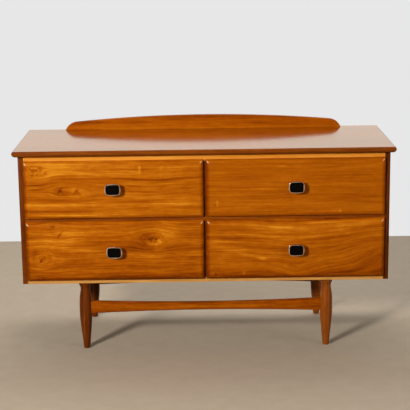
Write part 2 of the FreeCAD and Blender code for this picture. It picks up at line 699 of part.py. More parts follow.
def drawer(side, row):
    """Every piece of one drawer, by node name."""
    name = f"{row}_{side}"
    return {
        f"{name}_drawer_front": drawer_front(side, row),
        f"{name}_drawer_side_inner": drawer_side(side, row, "inner"),
        f"{name}_drawer_side_outer": drawer_side(side, row, "outer"),
        f"{name}_drawer_back": drawer_back(side, row),
        f"{name}_drawer_bottom": drawer_ply(side, row),
        f"{name}_knob_body": knob_body(side, row),
        f"{name}_knob_insert": knob_insert(side, row),
        f"{name}_knob_screw": knob_screw(side, row),
    }


def case():
    """Every fixed piece of the lowboy, by node name."""
    pieces = {
        "top_board": top_board(),
        "gallery_board": gallery_board(),
        "side_panel_left": side_panel("left"),
        "side_panel_right": side_panel("right"),
        "centre_divider": centre_divider(),
        "top_front_rail": top_front_rail(),
        "top_back_rail": top_back_rail(),
        "mid_rail": mid_rail(),
        "bottom_board": bottom_board(),
        "back_panel": back_panel(),
        "front_stretcher": stretcher("front"),
        "rear_stretcher": stretcher("rear"),
        "leg_blocks": Part.makeCompound(leg_blocks()),
        "gallery_dowels": Part.makeCompound(dowel_holes()),
        "top_screws": Part.makeCompound(top_screws()),
        "back_panel_screws": Part.makeCompound(back_screws()),
        "runner_screws": Part.makeCompound(runner_screws()),
    }
    for row in ROWS:
        for side in SIDES:
            pieces[f"{row}_runner_{side}"] = runner(side, row, "outer")
        inner = [runner(side, row, "inner") for side in SIDES]
        pieces[f"{row}_runners_divider"] = Part.makeCompound(inner)
    for name in leg_places():
        pieces[f"leg_{name}"] = leg(name)
    return pieces


def main():
    """Builds every piece and writes one STEP file for each."""
    os.makedirs("parts", exist_ok=True)
    pieces = case()
    for side in SIDES:
        for row in ROWS:
            pieces.update(drawer(side, row))
    for name, shape in pieces.items():
        if not shape.isValid():
            print("invalid solid:", name)
        shape.exportStep(os.path.join("parts", name + ".step"))
    print(len(pieces), "pieces")


main()
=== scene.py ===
"""Lowboy: the looks of a low, wide chest of four drawers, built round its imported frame.

The pieces that show get finer meshes, every piece gets a finish, and a plain stage, studio light and the
camera go round them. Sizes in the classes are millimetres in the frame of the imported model: the drawers
face -Y, +Z is up and the floor is z = 0.
"""

import logging
import math
from dataclasses import dataclass, field, replace
from enum import Enum
from typing import Any, Iterable, Sequence

import bmesh
import bpy
from bpy.types import Material, Mesh, Node, NodeSocket
from mathutils import Matrix, Vector


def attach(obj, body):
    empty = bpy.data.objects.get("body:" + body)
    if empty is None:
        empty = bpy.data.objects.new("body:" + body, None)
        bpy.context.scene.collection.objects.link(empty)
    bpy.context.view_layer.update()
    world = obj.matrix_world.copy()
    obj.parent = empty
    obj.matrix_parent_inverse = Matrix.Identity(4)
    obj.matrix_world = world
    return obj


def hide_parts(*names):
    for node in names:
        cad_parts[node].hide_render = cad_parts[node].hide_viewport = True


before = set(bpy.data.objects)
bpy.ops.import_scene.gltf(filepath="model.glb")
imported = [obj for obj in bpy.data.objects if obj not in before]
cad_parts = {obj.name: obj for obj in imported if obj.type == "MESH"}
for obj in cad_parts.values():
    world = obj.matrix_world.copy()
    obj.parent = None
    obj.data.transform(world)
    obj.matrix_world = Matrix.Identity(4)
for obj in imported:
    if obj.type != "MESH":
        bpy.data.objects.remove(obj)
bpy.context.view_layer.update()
LOG = logging.getLogger("lowboy")
MM = 0.001
CREASE_DEGREES = 32.0
SEED_STEP, MIDDLE = 731.0, 0.5
NOISE_ROUGHNESS, NOISE_REACH = 0.55, 1.6
SIDES = {"left": -1, "right": 1}
MITRE_HIGHLIGHT, END_GRAIN_AND_SHADE = "mitre", "end_grain"
WELD = 1e-6
QUARTER = math.pi / 2

Spot = tuple[float, float]
Point = tuple[float, float, float]
Placed = tuple[Point, Point]
Colour = tuple[float, float, float]
Stops = tuple[tuple[float, Colour], ...]


class Value:
    """A number in a node tree. Arithmetic on it adds Math nodes to the tree."""

    def __init__(self, tree: "Tree", socket: NodeSocket) -> None:
        """Wraps an output socket of a tree."""
        self.tree = tree
        self.socket = socket

    def __add__(self, other: "Value | float") -> "Value":
        """This value plus another."""
        return self.tree.math("ADD", self, other)

    def __sub__(self, other: "Value | float") -> "Value":
        """This value less another."""
        return self.tree.math("SUBTRACT", self, other)

    def __rsub__(self, other: float) -> "Value":
        """A number less this value."""
        return self.tree.math("SUBTRACT", other, self)

    def __mul__(self, other: "Value | float") -> "Value":
        """This value times another."""
        return self.tree.math("MULTIPLY", self, other)

    def __truediv__(self, other: "Value | float") -> "Value":
        """This value divided by another."""
        return self.tree.math("DIVIDE", self, other)

    def __rtruediv__(self, other: float) -> "Value":
        """A number divided by this value."""
        return self.tree.math("DIVIDE", other, self)

    def __neg__(self) -> "Value":
        """This value with its sign turned."""
        return self * -1.0

    __radd__ = __add__
    __rmul__ = __mul__

    def apply(self, operation: str) -> "Value":
        """One of Blender's operations on this value alone."""
        return self.tree.math(operation, self)

    def clamped(self) -> "Value":
        """This value held between 0 and 1."""
        return self.tree.math("ADD", self, 0.0, clamp=True)


class Tree:
    """A node tree, with the one method that adds a node to it."""

    def __init__(self, tree: bpy.types.NodeTree) -> None:
        """Wraps a tree of Blender's."""
        self.tree = tree

    def node(self, kind: str, settings: dict[str, Any] | None = None,
             sockets: dict[str | int, Any] | None = None) -> Node:
        """Adds a node.

        Args:
            kind: Blender's type of the node.
            settings: the node's own properties, set first. "stops" are a ramp's places and colours, and
                "points" the points of a curve.
            sockets: a value or a link for each input, by name or number.

        Returns:
            The new node.
        """
        node = self.tree.nodes.new(kind)
        for name, value in (settings or {}).items():
            if name == "stops":
                self.set_stops(node.color_ramp, value)
            elif name == "points":
                self.set_points(node.mapping, value)
            else:
                setattr(node, name, value)
        for key, value in (sockets or {}).items():
            self.feed(node.inputs[key], value)
        return node

    def feed(self, socket: NodeSocket, value: Any) -> None:
        """Links an input to what gives its value, or sets it to a plain number, colour or vector.

        Args:
            socket: the input.
            value: a Value, a node that gives its first output, an output socket or plain data.
        """
        if isinstance(value, Node):
            value = value.outputs[0]
        source = value.socket if isinstance(value, Value) else value
        if isinstance(source, NodeSocket):
            self.tree.links.new(source, socket)
        else:
            socket.default_value = source

    @staticmethod
    def set_stops(ramp: bpy.types.ColorRamp, stops: Stops) -> None:
        """Gives a colour ramp its stops.

        Args:
            ramp: the ramp, which starts with two stops.
            stops: each stop's place and colour, in rising order.
        """
        while len(ramp.elements) < len(stops):
            ramp.elements.new(1.0)
        for element, (place, colour) in zip(ramp.elements, stops):
            element.position = place
            element.color = (*colour, 1.0)

    @staticmethod
    def set_points(mapping: bpy.types.CurveMapping, points: Sequence[Spot]) -> None:
        """Gives a curve mapping its points.

        Args:
            mapping: the mapping, whose curve starts with two points.
            points: factor and value of each point, in rising order.
        """
        curve = mapping.curves[0]
        curve.points[0].location = points[0]
        curve.points[1].location = points[-1]
        for place, value in points[1:-1]:
            curve.points.new(place, value)
        mapping.update()

    def math(self, operation: str, *operands: "Value | float", clamp: bool = False) -> Value:
        """Adds a Math node.

        Args:
            operation: Blender's name of the operation.
            operands: what it works on, values or plain numbers.
            clamp: whether the result is held between 0 and 1.

        Returns:
            The result.
        """
        made = self.node("ShaderNodeMath", {"operation": operation, "use_clamp": clamp},
                         dict(enumerate(operands)))
        return Value(self, made.outputs[0])

    def vector(self, x: "Value | float", y: "Value | float", z: "Value | float") -> NodeSocket:
        """Three numbers as one vector."""
        return self.node("ShaderNodeCombineXYZ", sockets={"X": x, "Y": y, "Z": z}).outputs[0]

    def mix(self, share: Value, first: Any, second: Any) -> NodeSocket:
        """Two colours mixed, the second by a share."""
        made = self.node("ShaderNodeMix", {"data_type": "RGBA"}, {0: share, 6: first, 7: second})
        return made.outputs[2]


class Shader(Tree):
    """A material made of nodes that ends in one Principled shader."""

    def __init__(self, name: str) -> None:
        """Starts an empty material."""
        self.material = bpy.data.materials.new(name)
        self.material.use_nodes = True
        super().__init__(self.material.node_tree)
        self.tree.nodes.clear()

    def place(self, axes: str = "XYZ") -> list[Value]:
        """The point of the surface in millimetres, as its distances along three axes.

        Args:
            axes: the axes, in the order in which their distances are given.

        Returns:
            The three distances.
        """
        point = self.node("ShaderNodeTexCoord").outputs["Object"]
        parts = self.node("ShaderNodeSeparateXYZ", sockets={0: point}).outputs
        return [Value(self, parts[axis]) / MM for axis in axes]

    def painted(self, name: str) -> Value:
        """A number that is painted on the points of the mesh."""
        return Value(self, self.node("ShaderNodeAttribute", {"attribute_name": name}).outputs["Fac"])

    def noise(self, place: Sequence["Value | float"], size: Sequence[float], detail: float = 1.0,
              distortion: float = 0.0) -> Value:
        """Smooth noise about zero, mostly between -0.5 and 0.5.

        Args:
            place: the place along three axes.
            size: the length of a wave along each of them.
            detail: how many finer octaves are added.
            distortion: how far the noise is stirred by itself.

        Returns:
            The noise.
        """
        waves = self.vector(*(along / length for along, length in zip(place, size)))
        made = self.node("ShaderNodeTexNoise", {"noise_dimensions": "3D"},
                         {"Vector": waves, "Scale": 1.0, "Detail": detail, "Roughness": NOISE_ROUGHNESS,
                          "Distortion": distortion})
        return (Value(self, made.outputs[0]) - 0.5) * NOISE_REACH

    def hill(self, u: Value, v: Value, at: Spot, size: Spot, slope: float = 0.0) -> Value:
        """A smooth hill of height 1.

        Args:
            u: the place along the grain.
            v: the place across it.
            at: the top of the hill.
            size: its half length and half width, where it has fallen to about a third.
            slope: how much it climbs across the grain for each step along it.

        Returns:
            The height of the hill.
        """
        du = (u - at[0]) / size[0]
        dv = v - at[1] - (u - at[0]) * slope if slope else v - at[1]
        dv = dv / size[1]
        return (-(du * du + dv * dv)).apply("EXPONENT")

    def ramp(self, value: Value, stops: Stops) -> NodeSocket:
        """A colour that follows a value from 0 to 1 through the stops."""
        return self.node("ShaderNodeValToRGB", {"stops": stops}, {0: value}).outputs["Color"]

    def bump(self, height: Value, depth_mm: float, strength: float = 1.0) -> NodeSocket:
        """A normal that follows a height of 0 to 1, as deep as the given depth."""
        made = self.node("ShaderNodeBump", sockets={"Height": height, "Distance": depth_mm * MM,
                                                    "Strength": strength})
        return made.outputs[0]

    def finish(self, sockets: dict[str, Any]) -> Material:
        """Ends the material in a Principled shader with these sockets.

        Args:
            sockets: a value or a link for each of the shader's inputs.

        Returns:
            The material.
        """
        shader = self.node("ShaderNodeBsdfPrincipled", sockets=sockets)
        self.node("ShaderNodeOutputMaterial", sockets={"Surface": shader})
        return self.material


class Grain(Enum):
    """Which way the grain runs: the axes along it, across the show face and into the wood."""

    ALONG_FRONT = "XZY"
    ALONG_TOP = "XYZ"
    UPRIGHT_SIDE = "ZYX"
    UPRIGHT_ROUND = "ZXY"
    FRONT_TO_BACK = "YZX"


class Palette(Enum):
    """The colours of each timber from its darkest grain to its palest, linear."""

    HONEY = ((0.0, (0.20, 0.033, 0.0)), (0.3, (0.36, 0.075, 0.0008)), (0.5, (0.455, 0.108, 0.0015)),
             (0.7, (0.57, 0.155, 0.004)), (1.0, (0.80, 0.29, 0.014)))
    RAIL = ((0.0, (0.42, 0.11, 0.005)), (0.5, (0.70, 0.235, 0.018)), (1.0, (0.90, 0.38, 0.05)))
    PALE = ((0.0, (0.40, 0.14, 0.024)), (0.5, (0.64, 0.29, 0.064)), (1.0, (0.84, 0.46, 0.14)))
    CHESTNUT = ((0.0, (0.07, 0.012, 0.001)), (0.5, (0.20, 0.042, 0.003)), (1.0, (0.38, 0.095, 0.007)))
    BARE = ((0.0, (0.40, 0.25, 0.12)), (0.5, (0.57, 0.39, 0.20)), (1.0, (0.72, 0.53, 0.31)))
    PLY = ((0.0, (0.22, 0.12, 0.055)), (0.5, (0.36, 0.21, 0.10)), (1.0, (0.48, 0.30, 0.15)))


@dataclass(frozen=True)
class Layer:
    """One scale of the grain: how long and wide its marks are, and how much they show."""

    length: float
    width: float
    detail: float
    weight: float


@dataclass(frozen=True)
class Streak:
    """A long patch of lighter or darker wood at a place on the show face."""

    along: float
    across: float
    length: float
    width: float
    tone: float
    slope: float = 0.0


@dataclass(frozen=True)
class Sway:
    """A place where the grain lines bend aside."""

    along: float
    across: float
    length: float
    width: float
    rise: float


@dataclass(frozen=True)
class Knot:
    """A knot with a dark heart, rings round it and grain that flows past it."""

    along: float
    across: float
    size: float
    dark: float
    rings: float
    slope: float = 0.0


def marks(kind: type, *rows: tuple[float, ...]) -> tuple:
    """Marks of one kind in the wood, one for each row of its numbers."""
    return tuple(kind(*row) for row in rows)


GROWTH = marks(Layer, (700.0, 40.0, 2.0, 0.62), (320.0, 15.0, 2.0, 0.75), (150.0, 6.0, 2.0, 0.72),
               (24.0, 10.0, 2.0, 0.36), (80.0, 2.6, 1.0, 0.45), (45.0, 0.7, 1.0, 0.22))
# Sizes of marks along, across and into the wood, in millimetres, and how a layer's depth follows its width
WANDER_SIZE, SHIMMER_SIZE, PORE_SIZE = (420.0, 110.0, 160.0), (62.0, 26.0, 30.0), (8.0, 0.5, 0.5)
LAYER_DEPTH = 3.0
SHIMMER_DETAIL, SHIMMER_STIR, SHIMMER_TONE, SHIMMER_ROUGHNESS = 2.0, 0.6, 0.22, 0.05
PORE_LEVEL, PORE_EDGE, PORE_TONE, PORE_ROUGHNESS = 0.17, 7.0, 0.10, 0.10
GRAIN_DEPTH, GRAIN_STRENGTH, PORE_DEPTH = 0.05, 0.6, 0.6
# How far round a knot the grain flows aside, as shares of its size, and how its heart and rings fade
FLOW_LENGTH, FLOW_WIDTH, FLOW_SHARE = 3.2, 1.9, 0.75
KNOT_STRETCH, HEART_FALL, RING_FALL = 1.35, 4.0, 0.5
RING_TURNS, RING_DETAIL, RING_STIR, RING_SIZE = 8.0, 2.0, 11.0, (14.0, 9.0, 1.0)
# Painted highlight on the top mitres of the fronts: a pale warm tint mixed into the colour, with a glossier
# coat there
MITRE_HIGHLIGHT_TINT, MITRE_HIGHLIGHT_SHARE, MITRE_HIGHLIGHT_COAT = (1.0, 0.60, 0.28, 1.0), 0.75, 0.15
COAT_IOR, MITRE_HIGHLIGHT_COAT_IOR = 1.5, 1.8


@dataclass(frozen=True)
class Timber:
    """A lacquered or bare timber with its own figure."""

    name: str
    palette: Palette
    grain: Grain
    seed: int
    tone: float = 0.0
    contrast: float = 0.5
    roughness: float = 0.30
    specular: float = 0.05
    coat: float = 0.0
    coat_roughness: float = 0.16
    # worn: a painted highlight on the top mitres, a pale warm tint with a glossier coat
    worn: bool = False
    end_grain_and_shade_tone: float = 0.0
    wander: float = 9.0
    streaks: tuple[Streak, ...] = ()
    sways: tuple[Sway, ...] = ()
    knots: tuple[Knot, ...] = ()

    def bent(self, wood: Shader, u: Value, v: Value, w: Value) -> Value:
        """The place across the grain after every bend of the grain lines.

        Args:
            wood: the material in the making.
            u: the place along the grain.
            v: the place across it.
            w: the depth in the wood.

        Returns:
            The bent place across the grain, in millimetres.
        """
        line = v + wood.noise((u, v, w), WANDER_SIZE) * self.wander
        for sway in self.sways:
            line = line + wood.hill(u, v, (sway.along, sway.across), (sway.length, sway.width)) * sway.rise
        for knot in self.knots:
            reach = (knot.size * FLOW_LENGTH, knot.size * FLOW_WIDTH)
            near = wood.hill(u, v, (knot.along, knot.across), reach)
            line = line - (v - knot.across) * near * FLOW_SHARE
        return line

    def knot_tone(self, wood: Shader, u: Value, v: Value, knot: Knot) -> Value:
        """How much a knot lightens or darkens the wood.

        Args:
            wood: the material in the making.
            u: the place along the grain.
            v: the place across it.
            knot: the knot.

        Returns:
            The change of tone.
        """
        du = (u - knot.along) / (knot.size * KNOT_STRETCH)
        dv = (v - knot.across - (u - knot.along) * knot.slope) / knot.size
        away = du * du + dv * dv
        heart = (-(away * HEART_FALL)).apply("EXPONENT") * -knot.dark
        fade = (-(away * RING_FALL)).apply("EXPONENT") * knot.rings
        stir = wood.noise((u, v, knot.along), RING_SIZE, RING_DETAIL) * RING_STIR
        return heart + (away.apply("SQRT") * RING_TURNS + stir).apply("COSINE") * fade

    def material(self) -> Material:
        """The finish as a material.

        Returns:
            The material.
        """
        wood = Shader(self.name)
        u, v, w = wood.place(self.grain.value)
        w = w + self.seed * SEED_STEP
        line = self.bent(wood, u, v, w)
        sizes = [(layer.length, layer.width, layer.width * LAYER_DEPTH) for layer in GROWTH]
        figure = [wood.noise((u, line, w), size, layer.detail) for layer, size in zip(GROWTH, sizes)]
        tone = MIDDLE + self.tone
        for layer, mark in zip(GROWTH, figure):
            tone = tone + mark * (layer.weight * self.contrast)
        shimmer = wood.noise((u, v, w), SHIMMER_SIZE, SHIMMER_DETAIL, SHIMMER_STIR)
        tone = tone + shimmer * (SHIMMER_TONE * self.contrast)
        pores = ((wood.noise((u, line, w), PORE_SIZE) - PORE_LEVEL) * PORE_EDGE).clamped()
        tone = tone - pores * PORE_TONE
        for streak in self.streaks:
            at, size = (streak.along, streak.across), (streak.length, streak.width)
            tone = tone + wood.hill(u, line, at, size, streak.slope) * streak.tone
        for knot in self.knots:
            tone = tone + self.knot_tone(wood, u, v, knot)
        height = figure[-1] * 0.5 + MIDDLE - pores * PORE_DEPTH
        # End grain and painted shade: darker on the rounded ends of a front, more so on the left end
        if self.end_grain_and_shade_tone:
            tone = tone + wood.painted(END_GRAIN_AND_SHADE) * self.end_grain_and_shade_tone
        rough = self.roughness + shimmer * SHIMMER_ROUGHNESS + pores * PORE_ROUGHNESS
        sockets = {
            "Base Color": wood.ramp(tone.clamped(), self.palette.value),
            "Roughness": rough.clamped(),
            "Specular IOR Level": self.specular,
            "Coat Weight": self.coat,
            "Coat Roughness": self.coat_roughness,
            "Coat IOR": MITRE_HIGHLIGHT_COAT_IOR if self.worn else COAT_IOR,
            "Normal": wood.bump(height, GRAIN_DEPTH, GRAIN_STRENGTH),
        }
        # Painted highlight: the top mitres take a pale warm tint and a glossier coat
        if self.worn:
            highlight_weight = wood.painted(MITRE_HIGHLIGHT)
            sockets["Base Color"] = wood.mix(highlight_weight * MITRE_HIGHLIGHT_SHARE, sockets["Base Color"], MITRE_HIGHLIGHT_TINT)
            sockets["Coat Weight"] = highlight_weight * MITRE_HIGHLIGHT_COAT
        return wood.finish(sockets)


@dataclass(frozen=True)
class Metal:
    """A worked metal with a fine directionless texture and a little tarnish."""

    name: str
    colour: Colour
    tarnish: Colour
    roughness: float
    cloud_size: float = 9.0
    cloud_detail: float = 3.0
    cloud_level: float = 0.35
    cloud_share: float = 0.55
    cloud_roughness: float = 0.08
    tooth_size: float = 0.35
    tooth_roughness: float = 0.05
    tooth_depth: float = 0.01
    tooth_strength: float = 0.5

    def material(self) -> Material:
        """The finish as a material.

        Returns:
            The material.
        """
        metal = Shader(self.name)
        place = metal.place()
        cloud = (metal.noise(place, [self.cloud_size] * 3, self.cloud_detail) + self.cloud_level).clamped()
        tooth = metal.noise(place, [self.tooth_size] * 3)
        rough = self.roughness + cloud * self.cloud_roughness + tooth * self.tooth_roughness
        return metal.finish({
            "Base Color": metal.mix(cloud * self.cloud_share, (*self.colour, 1.0), (*self.tarnish, 1.0)),
            "Metallic": 1.0,
            "Roughness": rough.clamped(),
            "Normal": metal.bump(tooth + MIDDLE, self.tooth_depth, self.tooth_strength),
        })


@dataclass(frozen=True)
class Plastic:
    """A dark moulded plate with a fine texture."""

    name: str
    colour: Colour
    worn: Colour
    roughness: float
    specular: float = 0.04
    cloud_size: float = 7.0
    cloud_detail: float = 3.0
    cloud_level: float = 0.4
    tooth_size: float = 0.5
    tooth_detail: float = 2.0
    tooth_roughness: float = 0.08
    tooth_depth: float = 0.03
    tooth_strength: float = 0.5

    def material(self) -> Material:
        """The finish as a material.

        Returns:
            The material.
        """
        plate = Shader(self.name)
        place = plate.place()
        cloud = (plate.noise(place, [self.cloud_size] * 3, self.cloud_detail) + self.cloud_level).clamped()
        tooth = plate.noise(place, [self.tooth_size] * 3, self.tooth_detail)
        return plate.finish({
            "Base Color": plate.mix(cloud, (*self.colour, 1.0), (*self.worn, 1.0)),
            "Roughness": (self.roughness + tooth * self.tooth_roughness).clamped(),
            "Specular IOR Level": self.specular,
            "Normal": plate.bump(tooth + MIDDLE, self.tooth_depth, self.tooth_strength),
        })


@dataclass(frozen=True)
class FloorPaint:
    """A plain pale floor with a faint cloud in its colour, dimmer where it only throws light back."""

    name: str
    pale: Colour
    deep: Colour
    bounce: float = 0.2
    cloud_size: float = 55.0
    cloud_detail: float = 4.0
    roughness: float = 0.85
    specular: float = 0.2

    def material(self) -> Material:
        """The finish as a material.

        Returns:
            The material.
        """
        floor = Shader(self.name)
        cloud = (floor.noise(floor.place(), [self.cloud_size] * 3, self.cloud_detail) + MIDDLE).clamped()
        path = floor.node("ShaderNodeLightPath").outputs
        rays = (Value(floor, path[f"Is {ray} Ray"]) for ray in ("Camera", "Glossy", "Transmission"))
        seen = sum(rays, start=0.0).clamped()
        shown = floor.mix(cloud, (*self.pale, 1.0), (*self.deep, 1.0))
        dim = (*(self.bounce * c for c in self.deep), 1.0)
        return floor.finish({"Base Color": floor.mix(seen, dim, shown), "Roughness": self.roughness,
                             "Specular IOR Level": self.specular})


class Shape(Tree):
    """A Geometry Nodes tree with named sizes, run once to give a plain mesh."""

    KINDS = {float: "NodeSocketFloat", int: "NodeSocketInt", tuple: "NodeSocketVector"}

    def __init__(self, name: str, sizes: dict[str, Any]) -> None:
        """Starts a tree.

        Args:
            name: the tree's name.
            sizes: each named input with its value, a length or a place in millimetres or a whole number.
        """
        super().__init__(bpy.data.node_groups.new(name, "GeometryNodeTree"))
        self.sizes = {size: self.in_metres(value) for size, value in sizes.items()}
        face = self.tree.interface
        face.new_socket("Geometry", in_out="INPUT", socket_type="NodeSocketGeometry")
        for size, value in sizes.items():
            face.new_socket(size, in_out="INPUT", socket_type=self.KINDS[type(value)])
        face.new_socket("Finish", in_out="INPUT", socket_type="NodeSocketMaterial")
        face.new_socket("Geometry", in_out="OUTPUT", socket_type="NodeSocketGeometry")
        self.inputs = self.node("NodeGroupInput").outputs

    @staticmethod
    def in_metres(value: Any) -> Any:
        """A length or a place in metres, and a whole number as it is.

        Args:
            value: the length or the place in millimetres, or the whole number.

        Returns:
            The same in metres.
        """
        if isinstance(value, tuple):
            return tuple(c * MM for c in value)
        return value if isinstance(value, int) else value * MM

    def size(self, name: str) -> Value:
        """One of the named inputs."""
        return Value(self, self.inputs[name])

    def moved(self, body: Node, offset: NodeSocket) -> Node:
        """The points of a body moved by an offset."""
        return self.node("GeometryNodeSetPosition", sockets={"Geometry": body, "Offset": offset})

    def end(self, body: Node) -> None:
        """Ends the tree: instances made real, the finish set and the result put out.

        Args:
            body: the node that gives the finished body.
        """
        real = self.node("GeometryNodeRealizeInstances", sockets={0: body})
        dressed = self.node("GeometryNodeSetMaterial",
                            sockets={"Geometry": real, "Material": self.inputs["Finish"]})
        self.node("NodeGroupOutput", sockets={0: dressed})

    def mesh(self, name: str, finish: Material, start: Mesh | None = None) -> Mesh:
        """Runs the tree.

        Args:
            name: the name of the mesh.
            finish: the material that the tree sets.
            start: the mesh that the tree starts from, where it needs one.

        Returns:
            The result as a plain mesh.
        """
        holder = bpy.data.objects.new(name + "_maker", start or bpy.data.meshes.new(name + "_start"))
        bpy.context.scene.collection.objects.link(holder)
        modifier = holder.modifiers.new(name, "NODES")
        modifier.node_group = self.tree
        for item in self.tree.interface.items_tree:
            if item.in_out == "INPUT" and item.name in self.sizes:
                modifier[item.identifier] = self.sizes[item.name]
            elif item.in_out == "INPUT" and item.name == "Finish":
                modifier[item.identifier] = finish
        graph = bpy.context.evaluated_depsgraph_get()
        made = bpy.data.meshes.new_from_object(holder.evaluated_get(graph), depsgraph=graph)
        made.name = name
        bpy.data.objects.remove(holder)
        shell = bmesh.new()
        shell.from_mesh(made)
        bmesh.ops.remove_doubles(shell, verts=shell.verts, dist=WELD)
        return skinned(shell, made)


def skinned(shell: bmesh.types.BMesh, mesh: Mesh) -> Mesh:
    """Turns the faces of a shell outwards and puts it into a mesh, smooth except across its sharp edges.

    Args:
        shell: the shell, which is freed.
        mesh: the mesh that takes it up.

    Returns:
        The mesh.
    """
    bmesh.ops.recalc_face_normals(shell, faces=shell.faces)
    shell.to_mesh(mesh)
    shell.free()
    mesh.shade_smooth()
    mesh.set_sharp_from_angle(angle=math.radians(CREASE_DEGREES))
    return mesh


def lofted(name: str, rings: Sequence[Sequence[Point]]) -> Mesh:
    """A closed skin over outlines that follow each other, capped at both ends.

    Args:
        name: the name of the mesh.
        rings: outlines with equal numbers of points, in millimetres.

    Returns:
        The mesh, in metres.
    """
    shell = bmesh.new()
    rows = [[shell.verts.new([c * MM for c in point]) for point in ring] for ring in rings]
    for low, high in zip(rows, rows[1:]):
        for here in range(len(low)):
            after = (here + 1) % len(low)
            shell.faces.new((low[here], low[after], high[after], high[here]))
    shell.faces.new(rows[0][::-1])
    shell.faces.new(rows[-1])
    return skinned(shell, bpy.data.meshes.new(name))


def prism(name: str, outline: Sequence[Spot], z: Spot, ease: float) -> Mesh:
    """An upright board of any plan with eased edges.

    Args:
        name: the name of the mesh.
        outline: the corners of the plan, x and y.
        z: its bottom and top.
        ease: how far each edge is eased.

    Returns:
        The mesh, in metres.
    """
    shell = bmesh.new()
    floor = [shell.verts.new((x * MM, y * MM, z[0] * MM)) for x, y in outline]
    made = bmesh.ops.extrude_face_region(shell, geom=[shell.faces.new(floor)])
    lifted = [item for item in made["geom"] if isinstance(item, bmesh.types.BMVert)]
    bmesh.ops.translate(shell, vec=(0, 0, (z[1] - z[0]) * MM), verts=lifted)
    bmesh.ops.bevel(shell, geom=shell.edges[:], offset=ease * MM, segments=2, profile=0.5, affect="EDGES")
    return skinned(shell, bpy.data.meshes.new(name))


def arc(centre: Spot, radius: float, turn: Spot, steps: int) -> list[Spot]:
    """Points on an arc.

    Args:
        centre: its centre.
        radius: its radius.
        turn: the angles of its first and last points, counterclockwise from the right.
        steps: how many steps lie between those.

    Returns:
        The points, one more than the steps.
    """
    angles = [turn[0] + (turn[1] - turn[0]) * step / steps for step in range(steps + 1)]
    return [(centre[0] + radius * math.cos(angle), centre[1] + radius * math.sin(angle)) for angle in angles]


def quarter(steps: int) -> list[Spot]:
    """Cosine and sine over a quarter turn, from 0 to 90 degrees."""
    return arc((0.0, 0.0), 1.0, (0.0, QUARTER), steps)


def rounding(radius: float, steps: int) -> list[Spot]:
    """How far a rounded edge stands back from each of the two faces that it joins, from one to the other."""
    return [(radius * (1 - c), radius * (1 - s)) for c, s in quarter(steps)]


def eased_rectangle(low: Spot, high: Spot, radius: float, steps: int = 5) -> list[Spot]:
    """A rectangle with rounded corners.

    Args:
        low: its lower corner.
        high: its upper corner.
        radius: the radius of its corners.
        steps: how many steps each corner has.

    Returns:
        The points of the outline, counterclockwise.
    """
    left, under, right, over = low[0] + radius, low[1] + radius, high[0] - radius, high[1] - radius
    points = []
    for number, centre in enumerate(((right, over), (left, over), (left, under), (right, under))):
        points += arc(centre, radius, (QUARTER * number, QUARTER * (number + 1)), steps)
    return points


def barrel(size: Spot, outline: Point, steps: int = 12) -> list[Spot]:
    """A closed outline of four bowed sides joined by tangent corner arcs.

    Args:
        size: its whole width and height.
        outline: the bow of the left and right sides as a share of half the width, then the bow of the top
            and bottom and the radius of the corners as shares of half the height.
        steps: how many points each half side and each corner has.

    Returns:
        The points, counterclockwise about the centre from the middle of the right side.
    """
    half_w, half_h = size[0] / 2, size[1] / 2
    bow_w, bow_h, radius = outline[0] * half_w, outline[1] * half_h, outline[2] * half_h
    a, b = half_w - bow_w - radius, half_h - bow_h - radius
    long_w = ((radius + bow_w) ** 2 + b ** 2 - radius ** 2) / (2 * bow_w)
    long_h = ((radius + bow_h) ** 2 + a ** 2 - radius ** 2) / (2 * bow_h)
    low = math.atan2(b, a - half_w + long_w)
    high = math.atan2(b - half_h + long_h, a)
    corner = []
    for centre, bend, turn in (((half_w - long_w, 0.0), long_w, (0.0, low)), ((a, b), radius, (low, high)),
                               ((0.0, half_h - long_h), long_h, (high, QUARTER))):
        corner += arc(centre, bend, turn, steps)[:-1]
    upper = corner + [(0.0, half_h)] + [(-x, y) for x, y in reversed(corner)]
    return upper + [(x, -y) for x, y in reversed(upper[1:-1])]


def show(name: str, mesh: Mesh, finish: Material, body: str, slot: str, *nodes: str,
         second_finish: Material | None = None) -> None:
    """Adds a piece that stands for nodes of the frame and rides on their body.

    Args:
        name: the piece's name.
        mesh: its mesh, in place.
        finish: its material.
        body: the body that it rides on.
        slot: a material slot name; not used.
        nodes: the nodes that it stands for.
        second_finish: the material of the faces that have the second material number, where there are any.
    """
    numbers = [face.material_index for face in mesh.polygons]
    mesh.materials.clear()
    mesh.materials.append(finish)
    if second_finish:
        mesh.materials.append(second_finish)
        mesh.polygons.foreach_set("material_index", numbers)
    piece = bpy.data.objects.new(name, mesh)
    bpy.context.scene.collection.objects.link(piece)
    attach(piece, body)
    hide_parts(*nodes)
    LOG.info("%s: %d faces, stands for %s", name, len(mesh.polygons), ", ".join(nodes))


def dress(finish: Material, *nodes: str) -> None:
    """Gives nodes of the frame, which keep their shape, a finish.

    Args:
        finish: the material.
        nodes: the nodes.
    """
    for node in nodes:
        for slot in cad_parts[node].material_slots:
            slot.material = finish
        LOG.info("%s: %s", node, finish.name)


